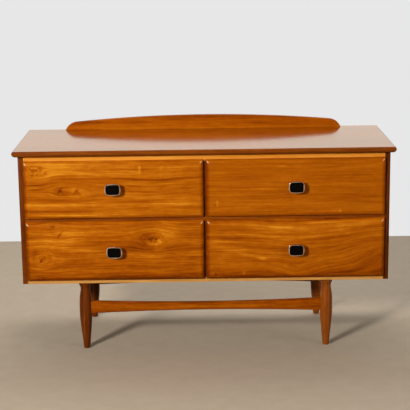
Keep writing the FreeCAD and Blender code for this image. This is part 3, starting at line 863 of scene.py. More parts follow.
@dataclass
class Top:
    """The top board with its rounded nose, and the gallery board along its back."""

    width: float = 1220.0
    front: float = -210.5
    rear: float = 227.5
    underside: float = 649.0
    surface: float = 668.0
    skin: float = 0.2
    nose_top: float = 6.5
    nose_bottom: float = 12.0
    nose_steps: int = 12
    corner: float = 2.5
    gallery_rise: float = 47.9
    gallery_thickness: float = 19.0
    gallery_arc: float = 4900.0
    gallery_end: float = 46.0
    gallery_turn_x: float = 440.5
    gallery_round: float = 3.0
    arc_steps: int = 64
    end_steps: int = 20
    round_steps: int = 6
    nose_margin: float = 2.0
    gallery_margin: float = 1.0
    # Streaks on the top: painted sheen across the middle, painted shade towards the right end, and painted
    # shade with the gallery's painted reflection in a band in front of the gallery
    top_finish: Timber = Timber(
        "top_lacquer", Palette.HONEY, Grain.ALONG_TOP, 11, tone=-0.28, roughness=0.11, specular=0.65,
        coat=0.35, coat_roughness=0.10,
        streaks=marks(Streak, (0, -30, 270, 150, 0.22), (0, 172, 460, 50, -0.36), (490, -60, 90, 150, -0.10)))
    # The nose and the underside take a darker finish than the surface
    nose_finish: Timber = Timber("nose_lacquer", Palette.CHESTNUT, Grain.ALONG_FRONT, 13, tone=0.16)
    gallery_finish: Timber = Timber(
        "gallery_lacquer", Palette.HONEY, Grain.ALONG_FRONT, 12, tone=-0.10, roughness=0.26,
        streaks=marks(Streak, (0, 671, 430, 7, 0.22), (0, 716, 430, 8, -0.18), (-300, 680, 90, 6, 0.10),
                      (-400, 692, 60, 9, -0.22), (60, 690, 90, 7, 0.06), (300, 684, 100, 7, -0.08)))

    def nose(self) -> list[Spot]:
        """Inset and height round the nose, from under the board to its surface.

        Returns:
            The points of the section.
        """
        steps = self.nose_steps
        under = [(inset, self.underside + rise) for rise, inset in rounding(self.nose_bottom, steps)]
        over = [(inset, self.surface - drop) for inset, drop in rounding(self.nose_top, steps)]
        first = (self.nose_bottom + self.nose_margin, self.underside)
        last = (self.nose_top + self.nose_margin, self.surface)
        return [first, *under, *over, last]

    def board(self) -> Mesh:
        """The top board: the nose runs along the front and both ends, and the back is square.

        Returns:
            The mesh, in which all but the skin of the surface has the second material number.
        """
        rings = []
        for inset, z in self.nose():
            half = self.width / 2 - inset
            outline = eased_rectangle((-half, self.front + inset), (half, self.rear), self.corner)
            rings.append([(x, y, z) for x, y in outline])
        mesh = lofted("top", rings)
        for face in mesh.polygons:
            face.material_index = int(face.center.z < (self.surface - self.skin) * MM)
        return mesh

    def gallery_outline(self, inset: float) -> list[Spot]:
        """The upright outline of the gallery board, drawn in by an inset, from its right foot to its left.

        Args:
            inset: how far it is drawn in.

        Returns:
            The points, x and z.
        """
        meet = math.acos(self.gallery_turn_x / self.gallery_arc)
        arc_z = self.surface + self.gallery_rise - self.gallery_arc
        end_x = self.gallery_turn_x - self.gallery_end * math.cos(meet)
        end_z = arc_z + (self.gallery_arc - self.gallery_end) * math.sin(meet)
        foot = math.asin((self.surface - end_z) / (self.gallery_end - inset))
        end = arc((end_x, end_z), self.gallery_end - inset, (foot, meet), self.end_steps)[:-1]
        crest = arc((0.0, arc_z), self.gallery_arc - inset, (meet, math.pi - meet), self.arc_steps)
        return end + crest + [(-x, z) for x, z in reversed(end)]

    def gallery(self) -> Mesh:
        """The gallery board: a long arc that turns down at both ends, its edges rounded.

        Returns:
            The mesh.
        """
        front, back = self.rear - self.gallery_thickness, self.rear
        bend = rounding(self.gallery_round, self.round_steps)
        margin = self.gallery_round + self.gallery_margin
        profile = [(margin, front), *((inset, front + depth) for depth, inset in bend),
                   *((inset, back - depth) for depth, inset in reversed(bend)), (margin, back)]
        rings = [[(x, y, z) for x, z in self.gallery_outline(inset)] for inset, y in profile]
        return lofted("gallery", rings)

    def build(self) -> None:
        """Makes and dresses the top and the gallery board."""
        show("top", self.board(), self.top_finish.material(), "case", "top_timber", "top_board",
             second_finish=self.nose_finish.material())
        show("gallery", self.gallery(), self.gallery_finish.material(), "case", "gallery_timber",
             "gallery_board")


@dataclass
class Case:
    """The boards of the case: sides, divider, rails, bottom and back."""

    half_width: float = 593.5
    panel: float = 17.0
    front: float = -190.0
    rear: float = 221.5
    back_thickness: float = 5.0
    rebate: float = 8.0
    bottom: float = 229.0
    top: float = 649.0
    ease: float = 0.8
    side_finishes: dict[str, Timber] = field(default_factory=lambda: {
        "left": Timber("left_side_lacquer", Palette.CHESTNUT, Grain.UPRIGHT_SIDE, 21, roughness=0.4),
        # The right side is a darker copy of the left side's timber: painted shade
        "right": Timber("right_side_lacquer", Palette.CHESTNUT, Grain.UPRIGHT_SIDE, 20, tone=-0.26,
                        roughness=0.4)})
    divider_finish: Timber = Timber("divider_lacquer", Palette.CHESTNUT, Grain.UPRIGHT_SIDE, 22, contrast=0.6,
                                    roughness=0.4)
    rail_finish: Timber = Timber("rail_lacquer", Palette.RAIL, Grain.ALONG_FRONT, 23, tone=0.20,
                                 roughness=0.35)
    # The mid rail takes a dark timber, unlike the pale top rail: painted shade in the gap between the drawers
    mid_rail_shaded_finish: Timber = Timber("mid_rail_lacquer", Palette.CHESTNUT, Grain.ALONG_FRONT, 28, tone=0.1)
    bottom_finish: Timber = Timber("bottom_lacquer", Palette.PALE, Grain.ALONG_FRONT, 24, roughness=0.45)
    inner_finish: Timber = Timber("inner_bare", Palette.BARE, Grain.ALONG_FRONT, 25, roughness=0.7)
    runner_finish: Timber = Timber("runner_bare", Palette.BARE, Grain.FRONT_TO_BACK, 26, roughness=0.65)
    back_finish: Timber = Timber("back_ply", Palette.PLY, Grain.ALONG_FRONT, 27, roughness=0.7)

    def side(self, name: str, sign: int) -> Mesh:
        """A side panel with the rebate that the back lies in.

        Args:
            name: the name of the mesh.
            sign: -1 for the left side and 1 for the right.

        Returns:
            The mesh.
        """
        outer, inner = sign * self.half_width, sign * (self.half_width - self.panel)
        step = inner + sign * self.rebate
        behind = self.rear - self.back_thickness
        plan = [(outer, self.front), (outer, self.rear), (step, self.rear), (step, behind), (inner, behind),
                (inner, self.front)]
        return prism(name, plan, (self.bottom, self.top), self.ease)

    def build(self) -> None:
        """Makes the two sides and dresses the boards that keep their shape."""
        for side, sign in SIDES.items():
            show(f"{side}_side", self.side(f"{side}_side", sign), self.side_finishes[side].material(), "case",
                 "side_timber", f"side_panel_{side}")
        dress(self.divider_finish.material(), "centre_divider")
        dress(self.rail_finish.material(), "top_front_rail")
        dress(self.mid_rail_shaded_finish.material(), "mid_rail")
        dress(self.bottom_finish.material(), "bottom_board")
        dress(self.inner_finish.material(), "top_back_rail", "leg_blocks", "gallery_dowels")
        dress(self.back_finish.material(), "back_panel")
        rows = ("upper", "lower")
        runners = [f"{row}_runner_{side}" for row in rows for side in SIDES]
        dress(self.runner_finish.material(), *runners, *(f"{row}_runners_divider" for row in rows))


@dataclass
class Underframe:
    """The four turned legs and the two waisted bars between them."""

    leg_x: float = 395.0
    leg_y: dict[str, float] = field(default_factory=lambda: {"front": -160.5, "rear": 177.5})
    height: float = 229.0
    greatest_radius: float = 20.6
    turning: tuple[Spot, ...] = (
        (0.0, 9.4), (1.0, 10.2), (37.0, 13.5), (70.0, 17.0), (105.0, 19.8), (141.0, 20.6), (171.0, 19.4),
        (189.0, 16.9), (204.0, 15.2), (216.0, 18.6), (219.0, 19.7), (228.3, 19.8), (229.0, 19.2))
    rings: int = 200
    sides: int = 56
    bar_height: float = 140.0
    bar_waist: float = 26.6
    bar_end: float = 44.0
    bar_thickness: float = 20.0
    bar_round: float = 6.0
    bar_reach: float = 389.0
    bar_stations: int = 60
    round_steps: int = 6
    leg_finishes: dict[str, Timber] = field(default_factory=lambda: {
        "left": Timber("left_leg_lacquer", Palette.CHESTNUT, Grain.UPRIGHT_ROUND, 31, tone=-0.22, coat=0.12,
                       streaks=marks(Streak, (85, -397.5, 45, 2.4, 0.3))),
        "right": Timber("right_leg_lacquer", Palette.CHESTNUT, Grain.UPRIGHT_ROUND, 32, tone=0.24,
                        coat=0.25)})
    bar_finish: Timber = Timber("bar_lacquer", Palette.HONEY, Grain.ALONG_FRONT, 33, tone=-0.18, contrast=0.6,
                                streaks=marks(Streak, (330, 140, 120, 60, -0.10)))

    def leg(self, name: str, place: Point, finish: Material) -> Mesh:
        """A leg turned to the profile.

        Args:
            name: the name of the mesh.
            place: the middle of its foot.
            finish: its material.

        Returns:
            The mesh.
        """
        shape = Shape(name, {"Height": self.height, "Radius": self.greatest_radius, "Rings": self.rings,
                             "Sides": self.sides, "Place": place})
        axis = shape.node("GeometryNodeCurvePrimitiveLine",
                          sockets={"Start": (0, 0, 0), "End": shape.vector(0.0, 0.0, shape.size("Height"))})
        axis = shape.node("GeometryNodeResampleCurve", sockets={"Curve": axis, "Count": shape.size("Rings")})
        points = [(z / self.height, radius / self.greatest_radius) for z, radius in self.turning]
        along = shape.node("GeometryNodeSplineParameter").outputs["Factor"]
        profile = shape.node("ShaderNodeFloatCurve", {"points": points}, {"Value": along}).outputs[0]
        circle = shape.node("GeometryNodeCurvePrimitiveCircle",
                            sockets={"Resolution": shape.size("Sides"), "Radius": 1.0})
        body = shape.node("GeometryNodeCurveToMesh", sockets={
            "Curve": axis, "Profile Curve": circle, "Scale": Value(shape, profile) * shape.size("Radius"),
            "Fill Caps": True})
        shape.end(shape.moved(body, shape.inputs["Place"]))
        return shape.mesh(name, finish)

    def bar(self, name: str, y: float, finish: Material) -> Mesh:
        """A bar between two legs, deepest at its ends and slim at the middle.

        Args:
            name: the name of the mesh.
            y: how far back it is.
            finish: its material.

        Returns:
            The mesh.
        """
        shape = Shape(name, {"Reach": self.bar_reach, "Waist": self.bar_waist, "End": self.bar_end,
                             "Leg": self.leg_x, "Thickness": self.bar_thickness, "Round": self.bar_round,
                             "Stations": self.bar_stations, "Place": (0.0, y, self.bar_height)})
        reach = shape.size("Reach")
        axis = shape.node("GeometryNodeCurvePrimitiveLine", sockets={
            "Start": shape.vector(-reach, 0.0, 0.0), "End": shape.vector(reach, 0.0, 0.0)})
        axis = shape.node("GeometryNodeResampleCurve",
                          sockets={"Curve": axis, "Count": shape.size("Stations")})
        axis = shape.node("GeometryNodeSetCurveNormal", {"mode": "Z_UP"}, {"Curve": axis})
        section = shape.node("GeometryNodeCurvePrimitiveQuadrilateral",
                             sockets={"Width": shape.size("Thickness"), "Height": shape.size("Waist")})
        section = shape.node("GeometryNodeFilletCurve", {"mode": "POLY"},
                             {"Curve": section, "Count": self.round_steps, "Radius": shape.size("Round")})
        body = shape.node("GeometryNodeCurveToMesh",
                          sockets={"Curve": axis, "Profile Curve": section, "Fill Caps": True})
        here = shape.node("GeometryNodeInputPosition")
        parts = shape.node("ShaderNodeSeparateXYZ", sockets={0: here}).outputs
        x, z = Value(shape, parts["X"]), Value(shape, parts["Z"])
        share = x / shape.size("Leg")
        swell = (shape.size("End") - shape.size("Waist")) * 0.5 * share * share
        body = shape.moved(body, shape.vector(0.0, 0.0, z.apply("SIGN") * swell))
        shape.end(shape.moved(body, shape.inputs["Place"]))
        return shape.mesh(name, finish)

    def build(self) -> None:
        """Makes the legs and the bars."""
        finishes = {side: timber.material() for side, timber in self.leg_finishes.items()}
        bar_finish = self.bar_finish.material()
        for end, y in self.leg_y.items():
            for side, sign in SIDES.items():
                name = f"{end}_{side}_leg"
                mesh = self.leg(name, (sign * self.leg_x, y, 0.0), finishes[side])
                show(name, mesh, finishes[side], "case", "leg_timber", f"leg_{end}_{side}")
            name = f"{end}_bar"
            show(name, self.bar(name, y, bar_finish), bar_finish, "case", "leg_timber", f"{end}_stretcher")


@dataclass(frozen=True)
class DrawerFinishes:
    """The materials that all drawers share: those of the knobs and of the boxes behind the fronts."""

    metal: Material
    plate: Material
    box: Material
    back: Material
    sheet: Material


@dataclass
class Drawer:
    """One drawer: its figured front, its knob and the plain box behind."""

    row: str
    side: str
    z: Spot
    knob_z: float
    finish: Timber
    inner_x: float = 3.0
    outer_x: float = 578.5
    face: float = -205.5
    lip_back: float = -190.5
    back: float = -181.5
    tongue_inset: float = 6.0
    tongue_outer_inset: float = 3.0
    tongue_ease: float = 0.4
    lip_ease: float = 0.3
    edge_round: float = 14.5
    face_margin: float = 1.5
    arris: Spot = (2.5, 5.0)
    # How dark each end is: end grain on both ends, with painted shade making the left end darker
    end_shades: Spot = (1.0, 0.35)
    end_fall: float = 0.85
    # Where across the rounded edge the painted highlight on the top mitres lies, and how wide it is
    highlight_inset: float = 6.5
    highlight_width: float = 2.6
    relief: float = 0.12
    round_steps: int = 14
    arris_steps: int = 8
    knob_x: float = 292.25
    knob_size: Spot = (52.0, 40.0)
    knob_reach: float = 22.0
    knob_rim: float = 5.0
    knob_ease: float = 0.8
    knob_rim_round: float = 2.4
    knob_border: float = 3.9
    knob_pocket: float = 2.6
    pocket_edge: tuple[Spot, ...] = ((0.0, 0.4), (0.15, 0.1), (0.4, 0.0))
    neck_sizes: tuple[Point, ...] = ((0.0, 31.0, 23.0), (6.0, 26.0, 18.0), (17.0, 50.0, 38.0))
    neck_steps: int = 14
    ease_steps: int = 4
    rim_steps: int = 8
    plate_thickness: float = 2.0
    plate_gap: float = 0.15
    plate_ease: float = 0.7
    crown: float = 0.2
    crown_inset: float = 9.0
    crown_shares: Point = (0.12, 0.5, 1.0)
    rim_outline: Point = (0.09, 0.16, 0.26)
    plate_outline: Point = (0.025, 0.06, 0.22)

    @property
    def name(self) -> str:
        """The drawer's row and side."""
        return f"{self.row}_{self.side}"

    def profile(self) -> list[tuple[float, float, float, float]]:
        """The section of the front's edge, from the back of the tongue to the face.

        Returns:
            Points with their inset, what the outer end adds to it, their depth and how steep the edge is.
        """
        tongue, edge = self.tongue_inset, self.edge_round
        spare = self.tongue_outer_inset - tongue
        points = [(tongue + self.tongue_ease, spare, self.back, 1.0),
                  (tongue, spare, self.back - self.tongue_ease, 1.0),
                  (tongue, spare, self.lip_back, 1.0),
                  (self.relief + self.lip_ease, 0.0, self.lip_back, 1.0),
                  (self.relief, 0.0, self.lip_back - self.lip_ease, 1.0)]
        points += [(max(self.relief, edge * (1 - c)), 0.0, self.face + edge * (1 - s), c)
                   for c, s in quarter(self.round_steps)]
        return [*points, (edge + self.face_margin, 0.0, self.face, 0.0)]

    def front(self) -> Mesh:
        """The front: a lip whose rounded edges meet in mitres, with the tongue behind it.

        Returns:
            The mesh, with two weights on its points: the painted highlight on its top mitres, and the
                darkening of its ends from end grain and painted shade.
        """
        sign = SIDES[self.side]
        turns = [step / self.arris_steps for step in range(self.arris_steps + 1)]
        rings, mitre, ends = [], [], []
        for inset, extra, y, slope in self.profile():
            share = min(inset / self.edge_round, 1.0)
            radius = self.arris[0] + (self.arris[1] - self.arris[0]) * share
            low_x, high_x = sorted((sign * (self.inner_x + inset), sign * (self.outer_x - inset - extra)))
            low, high = (low_x, self.z[0] + inset), (high_x, self.z[1] - inset)
            rings.append([(x, y, z) for x, z in eased_rectangle(low, high, radius, self.arris_steps)])
            # Painted highlight on the two top mitres only, in a band across the rounded edge; the bottom
            # mitres get none
            highlight_band = math.exp(-((inset - self.highlight_inset) / self.highlight_width) ** 2)
            highlight_weight = [math.sin(math.pi * turn) * highlight_band for turn in turns]
            mitre += highlight_weight * 2 + [0.0] * len(turns) * 2
            # Darker towards the ends: end grain, with painted shade that makes the left end darker
            fading = [slope ** self.end_fall * math.cos(QUARTER * turn) ** 2 for turn in turns]
            left, right = ([shade * value for value in fading] for shade in self.end_shades)
            ends += [*right, *reversed(left), *left, *reversed(right)]
        mesh = lofted(f"{self.name}_face", rings)
        for name, values in ((MITRE_HIGHLIGHT, mitre), (END_GRAIN_AND_SHADE, ends)):
            mesh.attributes.new(name, "FLOAT", "POINT").data.foreach_set("value", values)
        return mesh

    def knob_ring(self, reach: float, size: Spot, outline: Point) -> list[Point]:
        """An outline of the knob at a distance from the drawer's face."""
        x, z = SIDES[self.side] * self.knob_x, self.knob_z
        return [(x + a, self.face - reach, z + b) for a, b in barrel(size, outline)]

    def head_rings(self, profile: Iterable[Spot], outline: Point) -> list[list[Point]]:
        """Outlines of the knob's head, for each distance from the face and inset from its rim."""
        width, height = self.knob_size
        return [self.knob_ring(reach, (width - 2 * inset, height - 2 * inset), outline)
                for reach, inset in profile]

    def neck(self, reach: float) -> Spot:
        """Width and height of the knob's neck at a distance from the face, on a smooth curve.

        Args:
            reach: the distance.

        Returns:
            The width and the height.
        """
        width = height = 0.0
        for here in self.neck_sizes:
            share = 1.0
            for other in self.neck_sizes:
                if other is not here:
                    share *= (reach - other[0]) / (here[0] - other[0])
            width += share * here[1]
            height += share * here[2]
        return width, height

    def knob(self) -> Mesh:
        """The metal body of the knob: a foot, a waist and a flared rim round a pocket.

        Returns:
            The mesh.
        """
        rim_foot = self.knob_reach - self.knob_rim
        reaches = [rim_foot * step / self.neck_steps for step in range(self.neck_steps + 1)]
        rings = [self.knob_ring(reach, self.neck(reach), self.rim_outline) for reach in reaches]
        edge = [(rim_foot + rise, inset) for rise, inset in rounding(self.knob_ease, self.ease_steps)]
        edge += [(self.knob_reach - drop, inset)
                 for inset, drop in rounding(self.knob_rim_round, self.rim_steps)]
        pocket = [(self.knob_reach - drop, self.knob_border - spare) for drop, spare in self.pocket_edge]
        pocket.append((self.knob_reach - self.knob_pocket, self.knob_border))
        rings += self.head_rings(edge, self.rim_outline) + self.head_rings(pocket, self.plate_outline)
        return lofted(f"{self.name}_knob", rings)

    def plate(self) -> Mesh:
        """The dark plate in the knob's pocket, with an eased edge and a faint crown.

        Returns:
            The mesh.
        """
        floor = self.knob_reach - self.knob_pocket
        brim = floor + self.plate_thickness - self.crown
        profile = [(floor, 0.0)]
        profile += [(brim - drop, inset) for inset, drop in rounding(self.plate_ease, self.ease_steps)]
        profile += [(brim + self.crown * share, self.plate_ease + self.crown_inset * share)
                    for share in self.crown_shares]
        border = self.knob_border + self.plate_gap
        rings = self.head_rings([(reach, border + inset) for reach, inset in profile], self.plate_outline)
        return lofted(f"{self.name}_knob_plate", rings)

    def build(self, shared: DrawerFinishes) -> None:
        """Makes the front and the knob and dresses the box.

        Args:
            shared: the materials that all drawers share.
        """
        body, name = f"{self.name}_drawer", self.name
        show(f"{name}_face", self.front(), self.finish.material(), body, f"{name}_front_timber",
             f"{name}_drawer_front")
        show(f"{name}_knob", self.knob(), shared.metal, body, "knob_metal", f"{name}_knob_body")
        show(f"{name}_knob_plate", self.plate(), shared.plate, body, "knob_plastic", f"{name}_knob_insert")
        dress(shared.box, f"{name}_drawer_side_inner", f"{name}_drawer_side_outer")
        dress(shared.back, f"{name}_drawer_back")
        dress(shared.sheet, f"{name}_drawer_bottom")


# What the four fronts have in common
FRONT = Timber("front_lacquer", Palette.HONEY, Grain.ALONG_FRONT, 0, contrast=0.6, coat_roughness=0.28,
               worn=True, end_grain_and_shade_tone=-0.58)
UPPER_Z, LOWER_Z = (445.5, 634.0), (240.0, 436.5)
UPPER_KNOB_Z, LOWER_KNOB_Z = 545.0, 339.0
DRAWERS = (
    Drawer("upper", "left", UPPER_Z, UPPER_KNOB_Z, replace(
        FRONT, name="upper_left_lacquer", seed=1, tone=0.11,
        streaks=marks(
            Streak, (-450, 612, 80, 18, 0.22), (-538, 561, 30, 3.0, -0.34), (-540, 546, 26, 3.0, -0.34),
            (-545, 553, 20, 2.2, 0.22), (-410, 577, 80, 4.0, -0.22), (-250, 582, 200, 2.2, -0.22),
            (-450, 510, 135, 8, -0.38), (-468, 492, 110, 7, 0.16), (-460, 471, 130, 5, -0.30),
            (-423, 458, 150, 6, 0.38), (-90, 496, 90, 5, 0.56), (-140, 522, 160, 3.5, 0.13),
            (-206, 612, 4, 9, 0.42), (-138, 614, 8, 4, 0.18), (-70, 550, 140, 110, -0.10),
            (-330, 541, 60, 30, 0.10), (-475, 549, 45, 13, 0.16), (-430, 535, 130, 4, 0.20),
            (-110, 535, 90, 5, 0.13), (-305, 522, 45, 6, -0.22), (-95, 601, 80, 6, 0.20)),
        sways=marks(Sway, (-169, 570, 110, 50, 9.0)),
        knots=marks(
            Knot, (-540, 606, 13, 0.12, 0.20), (-553, 610, 7, 0.26, 0.14), (-523, 616, 7, 0.22, 0.14),
            (-548, 590, 8, 0.22, 0.14), (-505, 598, 9, 0.16, 0.12), (-461, 540, 11, 0.50, 0.0, 0.9),
            (-456, 536, 9, 0.30, 0.0, -0.9), (-409, 538, 11, 0.48, 0.0, 0.9),
            (-402, 532, 10, 0.34, 0.0, -0.7)))),
    Drawer("upper", "right", UPPER_Z, UPPER_KNOB_Z, replace(
        FRONT, name="upper_right_lacquer", seed=2, tone=-0.01, contrast=0.40, wander=5.0,
        streaks=marks(
            Streak, (290, 455, 320, 10, -0.06), (44, 593, 22, 2.5, 0.24), (247, 612, 18, 3, 0.24),
            (177, 539, 26, 3, 0.20), (40, 492, 3, 8, 0.28), (433, 463, 4, 6, 0.30), (400, 462, 40, 3, 0.12),
            (470, 545, 110, 90, -0.05), (150, 482, 130, 8, -0.10)),
        knots=marks(Knot, (32, 486, 6, 0.40, 0.0)))),
    Drawer("lower", "left", LOWER_Z, LOWER_KNOB_Z, replace(
        FRONT, name="lower_left_lacquer", seed=3, tone=-0.03, contrast=0.66,
        # Among the streaks: a painted highlight along the top edge (-290, 425), and darker along the bottom
        # edge (-290, 252)
        streaks=marks(
            Streak, (-118, 396, 45, 18, 0.34), (-290, 425, 300, 11, 0.14), (-425, 385, 60, 18, 0.30),
            (-505, 366, 75, 22, 0.34), (-370, 340, 58, 6, 0.22), (-250, 303, 130, 20, -0.24),
            (-230, 277, 130, 7, -0.16), (-232, 352, 50, 30, -0.22), (-70, 310, 70, 50, -0.14),
            (-290, 252, 330, 17, -0.46), (-148, 356, 16, 5, 0.40), (-545, 294, 26, 5, 0.30),
            (-549, 329, 14, 12, -0.26), (-430, 312, 80, 22, -0.16), (-380, 405, 170, 12, 0.16),
            (-198, 373, 22, 7, -0.30), (-562, 305, 22, 26, -0.16)),
        knots=marks(
            Knot, (-529, 311, 9, 0.62, 0.10, 0.8), (-527, 317, 18, 0.10, 0.18),
            (-467, 395, 11, 0.54, 0.0, 0.9), (-488, 423, 10, 0.36, 0.14), (-176, 377, 13, 0.62, 0.06),
            (-158, 377, 9, 0.50, 0.10, 0.5), (-164, 377, 20, 0.10, 0.18), (-525, 250, 8, 0.32, 0.10)))),
    Drawer("lower", "right", LOWER_Z, LOWER_KNOB_Z, replace(
        FRONT, name="lower_right_lacquer", seed=4, tone=-0.03,
        # Among the streaks: a painted highlight along the top edge (290, 420), painted shade on the top edge
        # itself (290, 437), and darker along the bottom edge (290, 249) and over the lower middle (290, 300),
        # (290, 267)
        streaks=marks(
            Streak, (295, 390, 330, 5, 0.34), (295, 376, 330, 5, -0.16), (95, 345, 90, 6, 0.20, -0.10),
            (130, 325, 80, 7, 0.26, -0.20), (186, 311, 12, 5, 0.24), (124, 261, 4, 8, 0.36),
            (290, 420, 320, 10, 0.26), (290, 249, 330, 17, -0.44), (480, 300, 100, 60, -0.08),
            (290, 300, 110, 30, -0.15), (290, 267, 140, 14, -0.16), (290, 437, 330, 3.2, -0.30),
            (230, 405, 190, 8, 0.13), (255, 378, 55, 6, 0.24), (48, 366, 48, 6, 0.22), (45, 323, 40, 8, 0.18),
            (505, 392, 45, 8, -0.18)),
        sways=marks(Sway, (290, 390, 150, 60, 9.0), (590, 330, 110, 55, -58.0), (300, 262, 70, 45, 26.0)),
        knots=marks(Knot, (33, 257, 8, 0.30, 0.14)))),
)


@dataclass(frozen=True)
class ScrewSize:
    """The sizes of a slotted screw."""

    head_radius: float
    head_height: float
    shank_radius: float
    shank_length: float
    slot_width: float = 0.8


@dataclass
class ScrewSet:
    """A set of slotted screws of one size, all on one body."""

    name: str
    node: str
    body: str
    slot: str
    size: ScrewSize
    places: list[Placed]
    seed: int
    segments: int = 24
    rings: int = 12
    shank_sides: int = 16
    slot_reach: float = 2.4

    def points(self) -> Mesh:
        """One point where each head sits, with the way that it faces.

        Returns:
            The points as a mesh.
        """
        mesh = bpy.data.meshes.new(f"{self.name}_points")
        mesh.from_pydata([[c * MM for c in place] for place, _ in self.places], [], [])
        facing = mesh.attributes.new("facing", "FLOAT_VECTOR", "POINT")
        facing.data.foreach_set("vector", [float(c) for _, way in self.places for c in way])
        return mesh

    def mesh(self, finish: Material) -> Mesh:
        """The screws: a domed head with a slot and a shank, set on every point.

        Args:
            finish: their material.

        Returns:
            The mesh.
        """
        shape = Shape(self.name, {
            "Head radius": self.size.head_radius, "Head height": self.size.head_height,
            "Slot width": self.size.slot_width, "Shank radius": self.size.shank_radius,
            "Shank length": self.size.shank_length, "Seed": self.seed})
        radius, height, length = (shape.size(name) for name in ("Head radius", "Head height", "Shank length"))
        dome = shape.node("GeometryNodeMeshUVSphere",
                          sockets={"Segments": self.segments, "Rings": self.rings, "Radius": 1.0})
        dome = shape.node("GeometryNodeTransform",
                          sockets={"Geometry": dome, "Scale": shape.vector(radius, radius, height)})
        cut = shape.node("GeometryNodeMeshCube", sockets={
            "Size": shape.vector(radius * self.slot_reach, shape.size("Slot width"), height)})
        cut = shape.node("GeometryNodeTransform",
                         sockets={"Geometry": cut, "Translation": shape.vector(0.0, 0.0, height)})
        head = shape.node("GeometryNodeMeshBoolean", {"operation": "DIFFERENCE"},
                          {"Mesh 1": dome, "Mesh 2": cut})
        shank = shape.node("GeometryNodeMeshCylinder", sockets={
            "Vertices": self.shank_sides, "Radius": shape.size("Shank radius"), "Depth": length})
        shank = shape.node("GeometryNodeTransform", sockets={
            "Geometry": shank, "Translation": shape.vector(0.0, 0.0, -(length * 0.5))})
        screw = shape.node("GeometryNodeJoinGeometry")
        for piece in (head, shank):
            shape.feed(screw.inputs[0], piece)
        facing = shape.node("GeometryNodeInputNamedAttribute", {"data_type": "FLOAT_VECTOR"},
                            {"Name": "facing"})
        aimed = shape.node("FunctionNodeAlignRotationToVector", {"axis": "Z"}, {"Vector": facing})
        turn = shape.node("FunctionNodeRandomValue", {"data_type": "FLOAT"},
                          {2: 0.0, 3: math.pi, "Seed": shape.size("Seed")}).outputs[1]
        spin = shape.node("FunctionNodeAxisAngleToRotation", sockets={"Axis": (0, 0, 1), "Angle": turn})
        aimed = shape.node("FunctionNodeRotateRotation", {"rotation_space": "LOCAL"},
                           {"Rotation": aimed, "Rotate By": spin})
        shape.end(shape.node("GeometryNodeInstanceOnPoints", sockets={
            "Points": shape.inputs["Geometry"], "Instance": screw, "Rotation": aimed}))
        return shape.mesh(self.name, finish, self.points())

    def build(self, finish: Material) -> None:
        """Makes the screws in place of their node."""
        show(self.name, self.mesh(finish), finish, self.body, self.slot, self.node)


